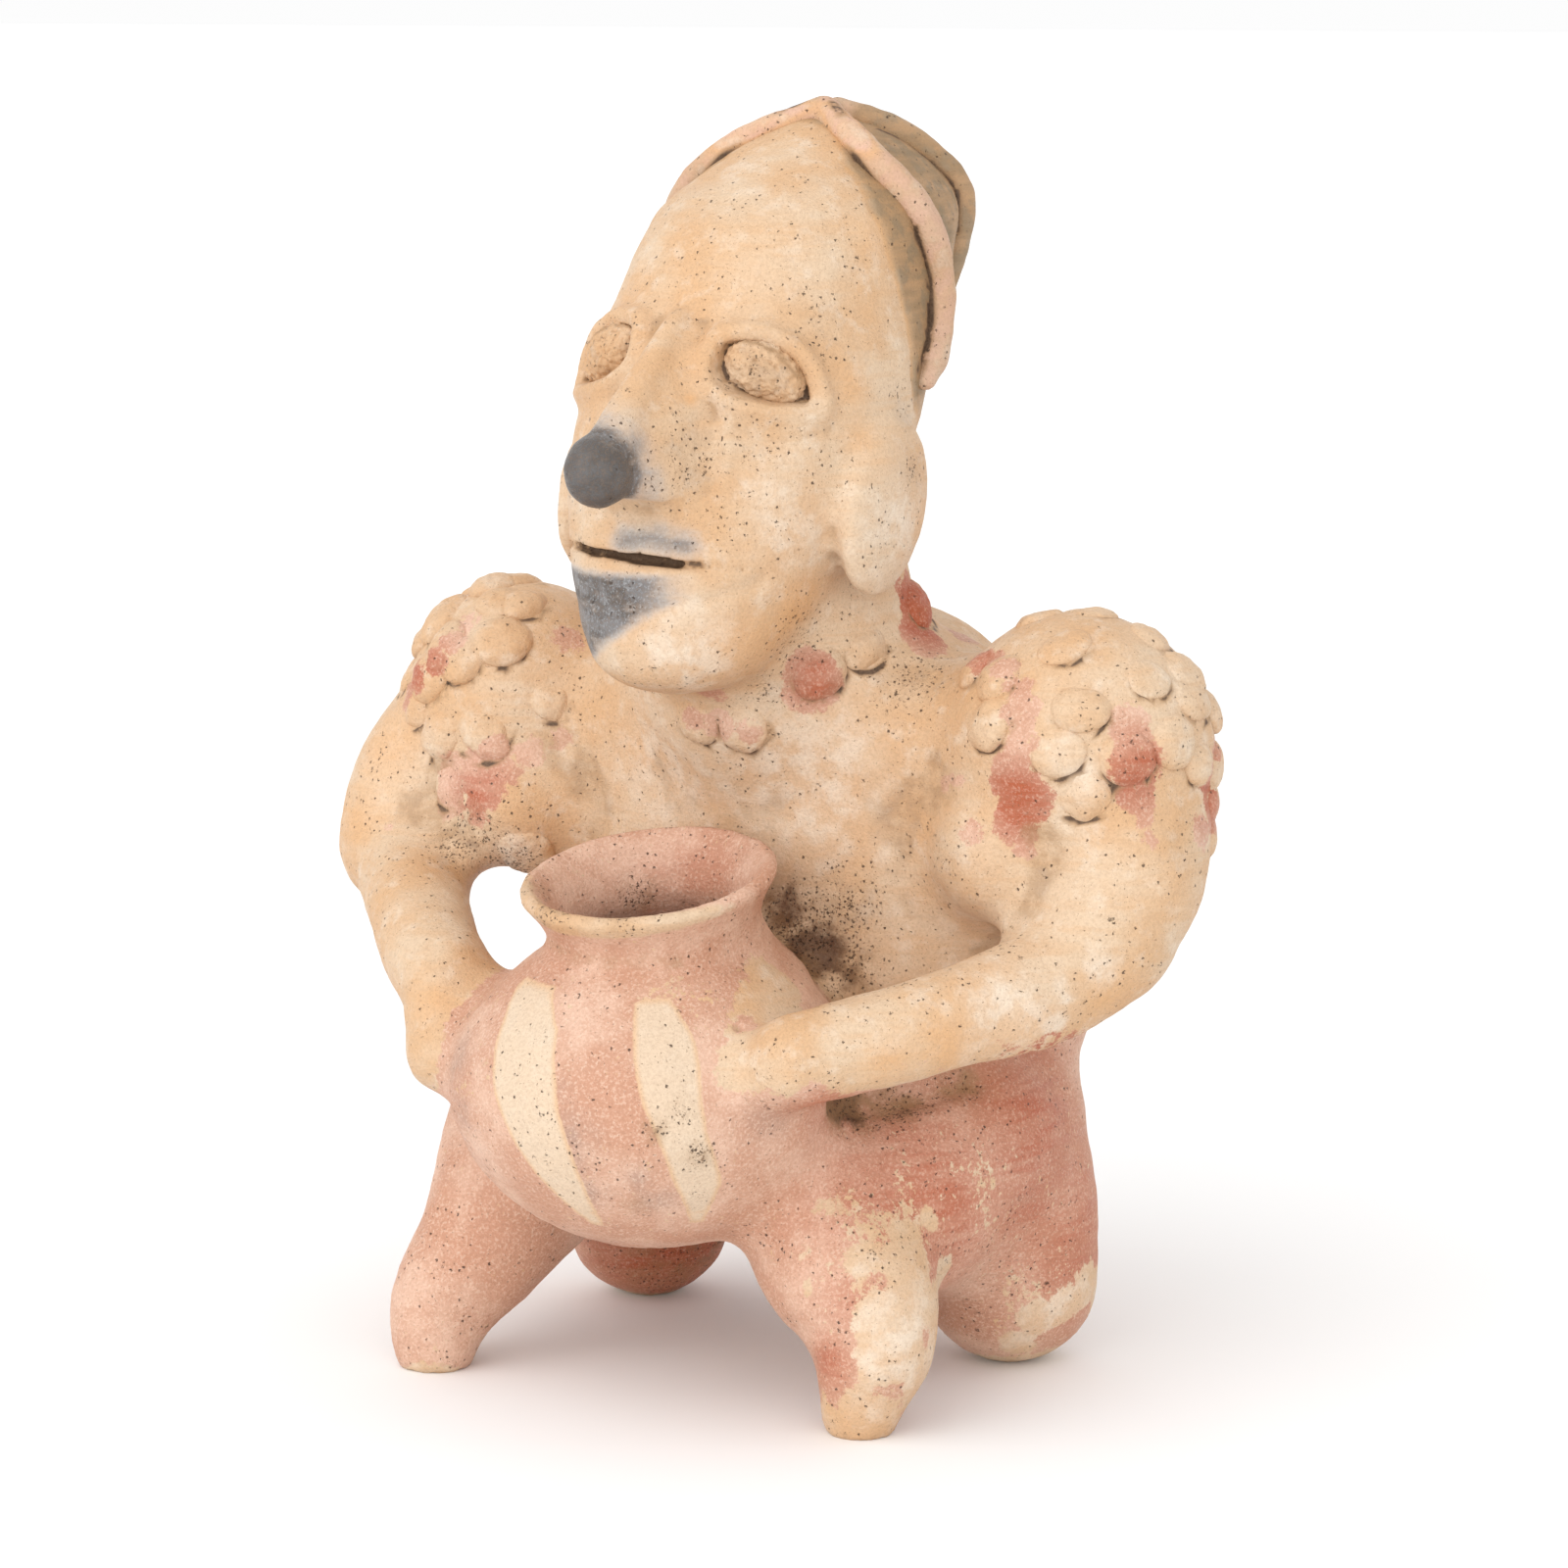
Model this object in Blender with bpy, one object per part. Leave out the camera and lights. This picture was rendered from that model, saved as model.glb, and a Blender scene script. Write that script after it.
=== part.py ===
"""Hunchback figure of fired clay, hugging an open jar and standing on two feet and two haunches."""

from math import cos, pi, radians, sin
from random import Random

import bmesh
import bpy
from mathutils import Euler, Matrix, Vector
from mathutils.bvhtree import BVHTree

# Driving dimensions, in metres.
FIGURE_HEIGHT = 0.314
JAR_BELLY = 0.100
JAR_MOUTH = 0.064
JAR_THROAT = 0.052
JAR_WALL = 0.0055
FOOT_WIDTH = 0.024
PELLET_WIDTH = 0.0135
PELLET_RISE = 0.0033
BAND_WIDTH = 0.009
EYE_LENGTH = 0.0245
MOUTH_LENGTH = 0.042
MOUTH_SLIT = 0.0028
CLAY_GRAIN = 0.0020
FINE_GRAIN = 0.0014
SKIN_TRIANGLES = 6200
FIGURE_TRIANGLES = 9700

# The pose is drawn in units of a 314th of the height: 1 mm on the real figure.
# X is the figure's left, Y runs to its back and Z up, from the ground between its front feet.
UNIT = FIGURE_HEIGHT / 314

# Skull and jaw as flat sections: height, front, back, half width.
HEAD_SECTIONS = (
    (172.5, 18, 36, 6), (175, 9, 42, 14), (179, 4, 50, 20), (186, 1.8, 61, 25), (195, 1.5, 72, 29.5),
    (207, 3, 80, 34), (222, 7.5, 90, 38.5), (235, 11.5, 97, 40.3), (246, 16, 103, 40.3),
    (255, 19.5, 107, 39.5),
    (267, 27, 117, 37), (279, 34.7, 123, 35.7), (285, 40, 125.5, 34.6), (291, 48.5, 126.5, 31.7),
    (297, 59.5, 122, 25.5), (303, 70.5, 114, 18.5), (307, 78.5, 106, 11.5), (309.5, 85, 99, 5),
)
# Trunk from the seat to the collar, in the same terms.
TRUNK_SECTIONS = (
    (36, 56, 108, 46), (42, 51, 116, 55), (50, 47, 124, 63), (60, 46, 130, 67), (72, 47, 134, 67.5),
    (84, 48, 136, 73), (100, 49, 136, 73), (115, 48.5, 136, 71), (130, 48, 136, 71), (145, 47, 134, 72),
    (158, 45, 130, 70), (168, 45, 124, 62), (177, 48, 116, 50), (184, 56, 104, 36), (188, 66, 94, 20),
)
SECTION_SQUARENESS = 2.2
# Hump on the upper back: middle, radii and lean; then the collar across the shoulders and the neck.
HUMP = ((0, 116, 140), (46, 38, 46), 12)
COLLAR = ((-70, 76, 150, 25), (0, 84, 156, 24), (70, 76, 150, 24))
NECK = ((0, 78, 150, 32), (0, 71, 170, 37), (0, 66, 188, 36), (0, 63, 205, 34))
# How far the hollows are filled: between the limbs and the trunk, round head, arms and jar, round details.
TRUNK_FILLET, LIMB_FILLET, DETAIL_FILLET = 9, 4.5, 0.6
LEFT, RIGHT = 1, -1

# Limbs, as stations of x, y, z and radius.
SHOULDERS = {LEFT: (82.5, 74, 159.5), RIGHT: (-80, 74, 158)}
SHOULDER_RADII = {LEFT: (34, 31, 33), RIGHT: (31, 30, 32)}
ARMPITS = {LEFT: (70, 56, 134), RIGHT: (-71, 55, 134)}
ARMPIT_RADII = (16, 14, 17)
ELBOWS = {LEFT: (97.5, 59, 117, 18), RIGHT: (-106.5, 60, 121, 19.5)}
UPPER_ARMS = {
    LEFT: ((90, 74, 150, 26), (98, 68, 133, 21.5)),
    RIGHT: ((-85, 73, 153, 26), (-98, 70, 142, 24), (-105.5, 66, 132, 21.5)),
}
FOREARMS = {
    LEFT: ((92, 48, 108, 15), (78, 20, 101, 12), (64, 4, 96.5, 12)),
    RIGHT: ((-97, 47, 114.5, 14.5), (-79, 25, 108, 13), (-67, 13, 102.5, 13), (-56, 4, 97, 12.5)),
}
# Hands: how far out from the jar's widest ring, then y, z and radius.
PALMS = {LEFT: (2, -8, 93, 11.5), RIGHT: (-0.5, -8, 83, 9.5)}
HAUNCHES = {
    LEFT: ((46.8, 82, 60, 31), (55, 82, 40, 27), (58.8, 84, 22, 23)),
    RIGHT: ((-48, 84, 60, 31), (-52, 89, 40, 26), (-53, 90, 20.8, 22)),
}
SOLE = FOOT_WIDTH / 2 / UNIT
LEGS = {
    LEFT: (
        (50, 66, 58, 31), (47, 46, 51, 29), (45, 27, 43, 25.5),
        (62.7, 10.7, 22, 15), (61.4, 9.6, 14, SOLE + 1), (59.3, 9, 4, SOLE - 2),
    ),
    RIGHT: (
        (-46, 64, 58, 29), (-52, 48, 56, 28), (-51, 30, 45, 24),
        (-54.5, 15, 28, 17.5), (-61, 5, 14, SOLE + 1), (-60.5, 3, 5, SOLE - 1),
    ),
}

# Face: half widths and places on it.
NOSE_RIDGE = ((1.5, 25, 264), (1.8, 9, 249), (3, -13, 231), (4, -9, 223))
NOSE_SIDES = ((4, 267), (6.5, 261), (12.6, 244), (15.5, 227), (14.5, 220))
NOSE_BALL = ((0, -11.5, 229.3), (9.2, 9.2, 9.2))
EYE_CENTRES = {LEFT: (22.7, 250.3), RIGHT: (22.7, 252.8)}
EYE_SLANT = 33
EYE_OPENING = 0.44
LID_RADIUS = 3.0
LID_BRIM = 2.0
LID_LIFT = 0.5
SOCKET_DEPTH = 3.2
SOCKET_FLOOR, SOCKET_RIM = 0.85, 1.1
EYEBALL_RADII = (7.6, 5.2, 5.8)
EYEBALL_LEAN = 30
MOUTH_HEIGHT = 207
MOUTH_DROOP = 1.2
EAR = (40, 53, 217)
EAR_RADII = (6, 15.5, 24)
EAR_LEAN = 28
# Headband: where its strands cross at the crown, and their lines down the sides, as y and z.
CROWN_FRONT, CROWN_REAR = (91, 310.5), (97, 310)
FRONT_STRAND = ((78, 299), (79.5, 285), (84, 271), (83, 259), (78, 251), (73, 246))
STRAND_RISE = 0.6
REAR_STRAND = ((104, 306), (111, 299), (115, 290), (113, 279), (106, 267))

# Jar: middle of its belly, middle of its mouth and how far the mouth tips forward, in degrees.
JAR_CENTRE = (0, 11, 80)
JAR_MOUTH_CENTRE = (0, 9, 128.7)
JAR_TILT = 12.5
BELLY_FLOOR = 0.83
BELLY_SHOULDER = 0.95
NECK_WAIST, NECK_ROOT = 0.38, 0.95

# Pellet rows on each shoulder: latitude, first and last turn from the front outwards, and count.
PELLET_ROWS = {
    LEFT: (
        (86, 0, 0, 1), (60, -90, 170, 5), (34, -50, 140, 6),
        (9, -22, 140, 6), (-15, 15, 130, 5), (-38, 115, 115, 1),
    ),
    RIGHT: (
        (86, 0, 0, 1), (60, -75, 185, 5), (34, -65, 100, 5),
        (10, -60, 105, 6), (-12, -22, 38, 3), (-35, -8, -8, 1),
    ),
}
PELLET_STRAY = 5
PELLET_SINK = 1.2
# Round the foot of the neck: turn from the front towards the left, and height.
COLLAR_PELLETS = ((-4, 164), (14, 163), (42, 177), (60, 182))
COLLAR_AXIS = (0, 74)


def new_object(name, mesh):
    item = bpy.data.objects.new(name, mesh)
    bpy.context.collection.objects.link(item)
    return item


def evaluated_mesh(item):
    """The mesh of an object with its modifiers carried out."""
    depsgraph = bpy.context.evaluated_depsgraph_get()
    depsgraph.update()
    return bpy.data.meshes.new_from_object(item.evaluated_get(depsgraph), depsgraph=depsgraph)


def eased(rows, height):
    """Values of a table of rows at a height, on a smooth curve that never overshoots its rows."""
    keys = [row[0] for row in rows]
    height = min(max(height, keys[0]), keys[-1])
    i = max(k for k in range(len(rows) - 1) if keys[k] <= height)
    span = keys[i + 1] - keys[i]
    t = (height - keys[i]) / span

    def slope(k, column):
        if k == 0 or k == len(rows) - 1:
            return 0.0 if len(rows) < 3 else chord(min(k, len(rows) - 2), column)
        before, after = chord(k - 1, column), chord(k, column)
        return 2 * before * after / (before + after) if before * after > 0 else 0.0

    def chord(k, column):
        return (rows[k + 1][column] - rows[k][column]) / (keys[k + 1] - keys[k])

    values = []
    for column in range(1, len(rows[0])):
        start, end = rows[i][column], rows[i + 1][column]
        values.append((1 + 2 * t) * (1 - t) ** 2 * start + t * t * (3 - 2 * t) * end
                      + span * t * (1 - t) * ((1 - t) * slope(i, column) - t * slope(i + 1, column)))
    return values


def oval_point(front, back, half_width, turn):
    """Point of a flat section, a slightly squared oval, at an angle counted from its left side."""
    power = 2 / SECTION_SQUARENESS
    across = abs(cos(turn)) ** power * (1 if cos(turn) > 0 else -1)
    along = abs(sin(turn)) ** power * (1 if sin(turn) > 0 else -1)
    return half_width * across, (front + back) / 2 + (back - front) / 2 * along


def stack(name, sections, levels=60, sides=56):
    """Closed form through flat sections, each an oval at its own height."""
    shape = bmesh.new()
    low, high = sections[0][0], sections[-1][0]
    below = None
    for level in range(levels + 1):
        height = low + (high - low) * level / levels
        front, back, half_width = eased(sections, height)
        ring = []
        for side in range(sides):
            x, y = oval_point(front, back, half_width, 2 * pi * side / sides)
            ring.append(shape.verts.new(Vector((x, y, height)) * UNIT))
        if below is None:
            shape.faces.new(reversed(ring))
        else:
            for side in range(sides):
                after = (side + 1) % sides
                shape.faces.new((below[side], below[after], ring[after], ring[side]))
        below = ring
    shape.faces.new(below)
    mesh = bpy.data.meshes.new(name)
    shape.to_mesh(mesh)
    shape.free()
    return new_object(name, mesh)


def ball(name, centre, radii, lean=0.0, sides=(32, 20)):
    """Egg of clay; lean tips its top to the back, in degrees."""
    shape = bmesh.new()
    turn = Euler((-radians(lean), 0, 0)).to_matrix().to_4x4()
    place = Matrix.Translation(Vector(centre) * UNIT) @ turn @ Matrix.Diagonal((*(Vector(radii) * UNIT), 1))
    bmesh.ops.create_uvsphere(shape, u_segments=sides[0], v_segments=sides[1], radius=1, matrix=place)
    mesh = bpy.data.meshes.new(name)
    shape.to_mesh(mesh)
    shape.free()
    return new_object(name, mesh)


def roll(name, stations, closed=False, ends=True, steps=8, roundness=6):
    """Roll of clay through stations of x, y, z and radius, with round ends unless it is a closed ring."""
    path = bpy.data.curves.new(name, "CURVE")
    path.dimensions = "3D"
    path.bevel_depth = UNIT
    path.bevel_resolution = roundness
    path.resolution_u = steps
    path.use_fill_caps = True
    line = path.splines.new("BEZIER")
    line.bezier_points.add(len(stations) - 1)
    line.use_cyclic_u = closed
    for point, (x, y, z, radius) in zip(line.bezier_points, stations):
        point.co = Vector((x, y, z)) * UNIT
        point.radius = radius
        point.handle_left_type = point.handle_right_type = "AUTO"
    tube = new_object(name, path)
    pieces = [new_object(name, evaluated_mesh(tube))]
    bpy.data.objects.remove(tube)
    if ends and not closed:
        for x, y, z, radius in (stations[0], stations[-1]):
            pieces.append(ball(name, (x, y, z), (radius, radius, radius)))
    return pieces


def turned(name, outline, centre, tilt=0.0, sides=64):
    """Solid turned about an axis through a centre; the outline lists radius and height from it."""
    shape = bmesh.new()
    rings = []
    lean = Euler((radians(tilt), 0, 0)).to_matrix()
    for radius, height in outline:
        ring = []
        for side in range(sides):
            angle = 2 * pi * side / sides
            point = lean @ Vector((radius * cos(angle), radius * sin(angle), height))
            ring.append(shape.verts.new(Vector(centre) * UNIT + point))
        rings.append(ring)
    shape.faces.new(reversed(rings[0]))
    shape.faces.new(rings[-1])
    for below, above in zip(rings, rings[1:]):
        for side in range(sides):
            after = (side + 1) % sides
            shape.faces.new((below[side], below[after], above[after], above[side]))
    mesh = bpy.data.meshes.new(name)
    shape.to_mesh(mesh)
    shape.free()
    return new_object(name, mesh)


def fused(name, pieces, grain, fillet):
    """One skin over overlapping pieces, with the hollows between them filled to a radius."""
    shape = bmesh.new()
    for piece in pieces:
        shape.from_mesh(piece.data)
        bpy.data.objects.remove(piece)
    mesh = bpy.data.meshes.new(name)
    shape.to_mesh(mesh)
    shape.free()
    item = new_object(name, mesh)

    def skin():
        step = item.modifiers.new("skin", "REMESH")
        step.mode = "VOXEL"
        step.voxel_size = grain

    skin()
    for distance in (fillet, -fillet):
        swell = item.modifiers.new("swell", "DISPLACE")
        swell.mid_level = 0
        swell.strength = distance * UNIT
        skin()
    result = new_object(name, evaluated_mesh(item))
    bpy.data.objects.remove(item)
    return result


def side_of_head(y, z):
    """Distance of the skull's side from the middle, at a place along it and a height."""
    front, back, half_width = eased(HEAD_SECTIONS, z)
    along = min(abs(y - (front + back) / 2) / ((back - front) / 2), 1)
    return half_width * (1 - along ** SECTION_SQUARENESS) ** (1 / SECTION_SQUARENESS)


def front_of_head(x, z):
    """Y of the face, at a distance from its middle and a height."""
    front, back, half_width = eased(HEAD_SECTIONS, z)
    across = min(abs(x) / half_width, 1)
    depth = (1 - across ** SECTION_SQUARENESS) ** (1 / SECTION_SQUARENESS)
    return (front + back) / 2 - (back - front) / 2 * depth


def trunk():
    """Seat, belly, hump, shoulders, upper arms, haunches, legs and neck."""
    pieces = [
        stack("trunk", TRUNK_SECTIONS),
        ball("hump", *HUMP),
        ball("left_shoulder", SHOULDERS[LEFT], SHOULDER_RADII[LEFT]),
        ball("right_shoulder", SHOULDERS[RIGHT], SHOULDER_RADII[RIGHT]),
        ball("left_armpit", ARMPITS[LEFT], ARMPIT_RADII),
        ball("right_armpit", ARMPITS[RIGHT], ARMPIT_RADII),
    ]
    pieces += roll("collar", COLLAR) + roll("neck", NECK)
    for side, name in ((LEFT, "left"), (RIGHT, "right")):
        pieces += roll(name + "_upper_arm", (*UPPER_ARMS[side], ELBOWS[side]))
        pieces += roll(name + "_haunch", HAUNCHES[side])
        pieces += roll(name + "_leg", LEGS[side])
    return fused("trunk", pieces, CLAY_GRAIN, TRUNK_FILLET)


def belly_outline(wall, steps=10):
    """Radius and height of the jar's belly from its widest ring; a wall's thickness inside for its hollow."""
    half = JAR_BELLY / 2
    width, floor, shoulder = half - wall, BELLY_FLOOR * half - wall, BELLY_SHOULDER * half - 1.3 * wall
    outline = []
    for step in range(1, steps):
        height = -floor * cos(pi / 2 * step / steps)
        outline.append((width * sin(pi / 2 * step / steps), height))
    for step in range(steps - 2):
        share = step / steps
        outline.append((width * (1 - share ** 1.9), shoulder * share))
    return outline


def neck_outline(wall, steps=6):
    """Radius and height of the jar's neck and flared lip from its mouth, inside by the wall's thickness."""
    lip, throat = JAR_MOUTH / 2, JAR_THROAT / 2
    waist, root = -NECK_WAIST * lip, -NECK_ROOT * lip
    outline = []
    for step in range(steps + 1):
        height = root + (waist - root) * step / steps
        outline.append((throat + 0.4 * throat * ((waist - height) / (waist - root)) ** 1.7 - wall, height))
    for step in range(1, steps + 1):
        height = waist * (1 - step / steps)
        outline.append((throat + (lip - throat) * (1 - height / waist) ** 1.8 - wall, height))
    return outline


def jar_neck():
    """Neck and lip, with the lip's edge rounded over."""
    lip = JAR_MOUTH / 2
    edge = JAR_WALL / 2
    outline = neck_outline(0)
    for step in range(1, 6):
        turn = pi / 2 * step / 5
        outline.append((lip - edge + edge * cos(turn), edge * sin(turn) * 0.8))
    return turned("jar_neck", outline, JAR_MOUTH_CENTRE, JAR_TILT)


def jar_hollow():
    """Cutters for the inside of the jar: its belly, and its throat out through the mouth."""
    throat = neck_outline(JAR_WALL)
    lip = JAR_MOUTH / 2 - JAR_WALL
    throat += [(lip + JAR_WALL * 0.25, JAR_WALL * 0.2), (lip + JAR_WALL * 0.6, JAR_WALL * 0.6)]
    return [
        turned("belly_hollow", belly_outline(JAR_WALL), JAR_CENTRE, sides=24),
        turned("throat_hollow", throat, JAR_MOUTH_CENTRE, JAR_TILT, sides=24),
    ]


def arms_and_head(body):
    """The body with the head, the jar's belly and the arms that end in mitten hands on it."""
    pieces = [body, stack("head", HEAD_SECTIONS), turned("jar_belly", belly_outline(0), JAR_CENTRE)]
    for side, name in ((LEFT, "left_forearm"), (RIGHT, "right_forearm")):
        out, y, z, radius = PALMS[side]
        palm = (side * (JAR_BELLY / 2 / UNIT + out), y, z, radius)
        pieces += roll(name, (ELBOWS[side], *FOREARMS[side], palm))
    return fused("figure", pieces, CLAY_GRAIN, LIMB_FILLET)


def wedge(name, corners):
    """Solid with flat sides round a few corners."""
    shape = bmesh.new()
    for corner in corners:
        shape.verts.new(Vector(corner) * UNIT)
    bmesh.ops.convex_hull(shape, input=shape.verts)
    mesh = bpy.data.meshes.new(name)
    shape.to_mesh(mesh)
    shape.free()
    return new_object(name, mesh)


def nose():
    """Long straight wedge from between the eyes down to a ball at its tip."""
    corners = []
    for side in (LEFT, RIGHT):
        for x, y, z in NOSE_RIDGE:
            corners.append((side * x, y, z))
        for x, z in NOSE_SIDES:
            corners.append((side * x, front_of_head(x, z) + 2, z))
    return [wedge("nose", corners), ball("nose_ball", *NOSE_BALL)]


def eye_point(side, along, up, lift):
    """Point of an eye's own slanting axes on the face, lifted off it."""
    middle, height = EYE_CENTRES[side]
    slant = radians(EYE_SLANT)
    x = middle + along * cos(slant) + up * sin(slant)
    z = height - along * sin(slant) + up * cos(slant)
    return side * x, front_of_head(x, z) - lift, z


def eyes():
    """Raised almond lids."""
    pieces = []
    half = EYE_LENGTH / 2 / UNIT
    for side, name in ((LEFT, "left_eye"), (RIGHT, "right_eye")):
        outline = almond(half + LID_BRIM, EYE_OPENING * half + LID_BRIM)
        lids = [(*eye_point(side, along, up, LID_LIFT), LID_RADIUS) for along, up in outline]
        pieces += roll(name + "_lids", lids, closed=True)
    return pieces


def almond(half, rise, sides=16):
    """Outline of an eye about its middle, pointed at both corners, from its outer corner over the top."""
    outline = []
    for step in range(sides):
        along = cos(2 * pi * step / sides)
        up = rise * (1 - abs(along) ** 2.2) * (1 if 2 * step < sides else -1)
        outline.append((half * along, up))
    return outline


def eye_sockets():
    """Cutters for the sunken almonds between the lids."""
    pieces = []
    half = EYE_LENGTH / 2 / UNIT
    for side, name in ((LEFT, "left_socket"), (RIGHT, "right_socket")):
        shape = bmesh.new()
        rings = []
        above = LID_LIFT + LID_RADIUS + 1
        for depth, share in ((SOCKET_DEPTH, SOCKET_FLOOR), (-above, SOCKET_RIM)):
            outline = almond(share * half, share * EYE_OPENING * half)
            points = [eye_point(side, along, up, -depth) for along, up in outline]
            rings.append([shape.verts.new(Vector(point) * UNIT) for point in points])
        shape.faces.new(rings[0])
        shape.faces.new(reversed(rings[1]))
        for number in range(len(rings[0])):
            after = (number + 1) % len(rings[0])
            shape.faces.new((rings[0][after], rings[0][number], rings[1][number], rings[1][after]))
        bmesh.ops.triangulate(shape, faces=shape.faces)
        bmesh.ops.recalc_face_normals(shape, faces=shape.faces)
        mesh = bpy.data.meshes.new(name)
        shape.to_mesh(mesh)
        shape.free()
        pieces.append(new_object(name, mesh))
    return pieces


def eyeballs():
    """A low ball of clay in each socket."""
    return [ball(name, eye_point(side, 0, 0, -SOCKET_DEPTH), EYEBALL_RADII, EYEBALL_LEAN, sides=(14, 8))
            for side, name in ((LEFT, "left_eyeball"), (RIGHT, "right_eyeball"))]


def ears():
    """A flat flap at each side of the head, its lobe forward and down."""
    return [ball(name, (side * EAR[0], *EAR[1:]), EAR_RADII, EAR_LEAN)
            for side, name in ((LEFT, "left_ear"), (RIGHT, "right_ear"))]


def headband():
    """Two strands that cross at the crown: one down each temple, one round the back of the cap."""
    thick = BAND_WIDTH / 2 / UNIT
    pieces = []
    for side, name in ((LEFT, "left_strand"), (RIGHT, "right_strand")):
        front, rear = [(0, *CROWN_FRONT, thick)], [(0, *CROWN_REAR, thick)]
        for y, z in FRONT_STRAND:
            front.append((side * (side_of_head(y, z) + STRAND_RISE), y, z, thick))
        for y, z in REAR_STRAND:
            rear.append((side * (side_of_head(y, z) + STRAND_RISE), y, z, thick))
        pieces += roll(name, front) + roll(name + "_rear", rear)
    return pieces


def pellet(spot, outward):
    """Flattened ball of clay pressed onto the skin, facing outward."""
    shape = bmesh.new()
    turn = outward.to_track_quat("Z", "Y").to_matrix().to_4x4()
    sink = PELLET_SINK * UNIT
    place = Matrix.Translation(spot - outward * sink)
    size = Matrix.Diagonal((PELLET_WIDTH / 2, PELLET_WIDTH / 2, PELLET_RISE + sink, 1))
    bmesh.ops.create_uvsphere(shape, u_segments=8, v_segments=4, radius=1, matrix=place @ turn @ size)
    mesh = bpy.data.meshes.new("pellet")
    shape.to_mesh(mesh)
    shape.free()
    return new_object("pellet", mesh)


def pellet_rays():
    """Where each pellet is pressed on from: a point inside the clay and the way out of it."""
    rays = []
    stray = Random(4)
    for side in (LEFT, RIGHT):
        for latitude, first, last, count in PELLET_ROWS[side]:
            for number in range(count):
                turn = first + (last - first) * number / max(count - 1, 1)
                turn = radians(turn + stray.uniform(-PELLET_STRAY, PELLET_STRAY))
                rise = radians(latitude + stray.uniform(-PELLET_STRAY, PELLET_STRAY))
                outward = Vector((side * sin(turn) * cos(rise), -cos(turn) * cos(rise), sin(rise)))
                rays.append((Vector(SHOULDERS[side]) * UNIT, outward))
    for turn, height in COLLAR_PELLETS:
        outward = Vector((sin(radians(turn)), -cos(radians(turn)), 0))
        rays.append((Vector((*COLLAR_AXIS, height)) * UNIT, outward))
    return rays


def pellets(skin):
    """Rows of pellets over both shoulders, and a few round the foot of the neck, pressed onto the skin."""
    surface = BVHTree.FromObject(skin, bpy.context.evaluated_depsgraph_get())
    pieces = []
    for start, outward in pellet_rays():
        spot, normal, _, _ = surface.ray_cast(start, outward)
        pieces.append(pellet(spot, (normal + outward).normalized()))
    return pieces


def slimmed(item, limit):
    """The same skin in no more triangles than a limit."""
    triangles = sum(len(face.vertices) - 2 for face in item.data.polygons)
    step = item.modifiers.new("slim", "DECIMATE")
    step.ratio = min(1.0, limit / triangles)
    result = new_object(item.name, evaluated_mesh(item))
    bpy.data.objects.remove(item)
    return result


def combined(item, others, operation):
    """The item with the space of other solids taken out of it, or added to it."""
    group = bpy.data.collections.new(operation)
    for other in others:
        group.objects.link(other)
    step = item.modifiers.new(operation, "BOOLEAN")
    step.operation = operation
    step.operand_type = "COLLECTION"
    step.collection = group
    result = new_object(item.name, evaluated_mesh(item))
    for used in (item, *others):
        bpy.data.objects.remove(used)
    bpy.data.collections.remove(group)
    return result


def mouth_cutter():
    """A thin bent roll that leaves the straight slit of the mouth."""
    half = MOUTH_LENGTH / 2 / UNIT
    stations = []
    for step in range(-3, 4):
        x = half * step / 3
        z = MOUTH_HEIGHT - MOUTH_DROOP * (step / 3) ** 2
        stations.append((x, front_of_head(x, z), z, MOUTH_SLIT / 2 / UNIT))
    return roll("mouth", stations, steps=1, roundness=1, ends=False)


def standing(item):
    """Soles and haunches ground flat at the height they stand on."""
    shape = bmesh.new()
    shape.from_mesh(item.data)
    everything = shape.verts[:] + shape.edges[:] + shape.faces[:]
    ground = {"plane_co": (0, 0, 0), "plane_no": (0, 0, 1)}
    result = bmesh.ops.bisect_plane(shape, geom=everything, clear_inner=True, **ground)
    rim = [edge for edge in result["geom_cut"] if isinstance(edge, bmesh.types.BMEdge)]
    bmesh.ops.contextual_create(shape, geom=rim)
    bmesh.ops.triangulate(shape, faces=shape.faces)
    shape.to_mesh(item.data)
    shape.free()
    return item


def middle_of(item):
    """The point on the ground below the middle of an item's extent."""
    xs, ys = [v.co.x for v in item.data.vertices], [v.co.y for v in item.data.vertices]
    return Vector(((min(xs) + max(xs)) / 2, (min(ys) + max(ys)) / 2, 0))


def fired_clay():
    """Buff burnished clay."""
    material = bpy.data.materials.new("fired_clay")
    material.use_nodes = True
    shader = material.node_tree.nodes["Principled BSDF"]
    shader.inputs["Base Color"].default_value = (0.72, 0.48, 0.30, 1)
    shader.inputs["Roughness"].default_value = 0.6
    shader.inputs["Metallic"].default_value = 0.0
    return material


for leftover in list(bpy.data.objects):
    bpy.data.objects.remove(leftover)
figure = arms_and_head(trunk())
details = [jar_neck(), *nose(), *eyes(), *ears(), *headband()]
figure = fused("figure", [figure, *details], FINE_GRAIN, DETAIL_FILLET)
figure = slimmed(figure, SKIN_TRIANGLES)
figure = combined(figure, jar_hollow() + mouth_cutter() + eye_sockets(), "DIFFERENCE")
figure = combined(figure, eyeballs() + pellets(figure), "UNION")
figure = slimmed(figure, FIGURE_TRIANGLES)
figure = standing(figure)
middle = middle_of(figure)
figure.data.transform(Matrix.Translation(-middle))
figure.name = "hunchback_figure"
figure.data.materials.clear()
figure.data.materials.append(fired_clay())
figure.data.shade_smooth()
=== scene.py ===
"""Looks of the hunchback figure: burnished buff clay, worn red slip, fire clouds, pits, old dirt, and painted
shade and light.
"""

from math import cos, exp, pi, radians, sin
from random import Random

import bmesh
import bpy
import numpy as np
from mathutils import Euler, Matrix, Vector
from mathutils.bvhtree import BVHTree


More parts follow.
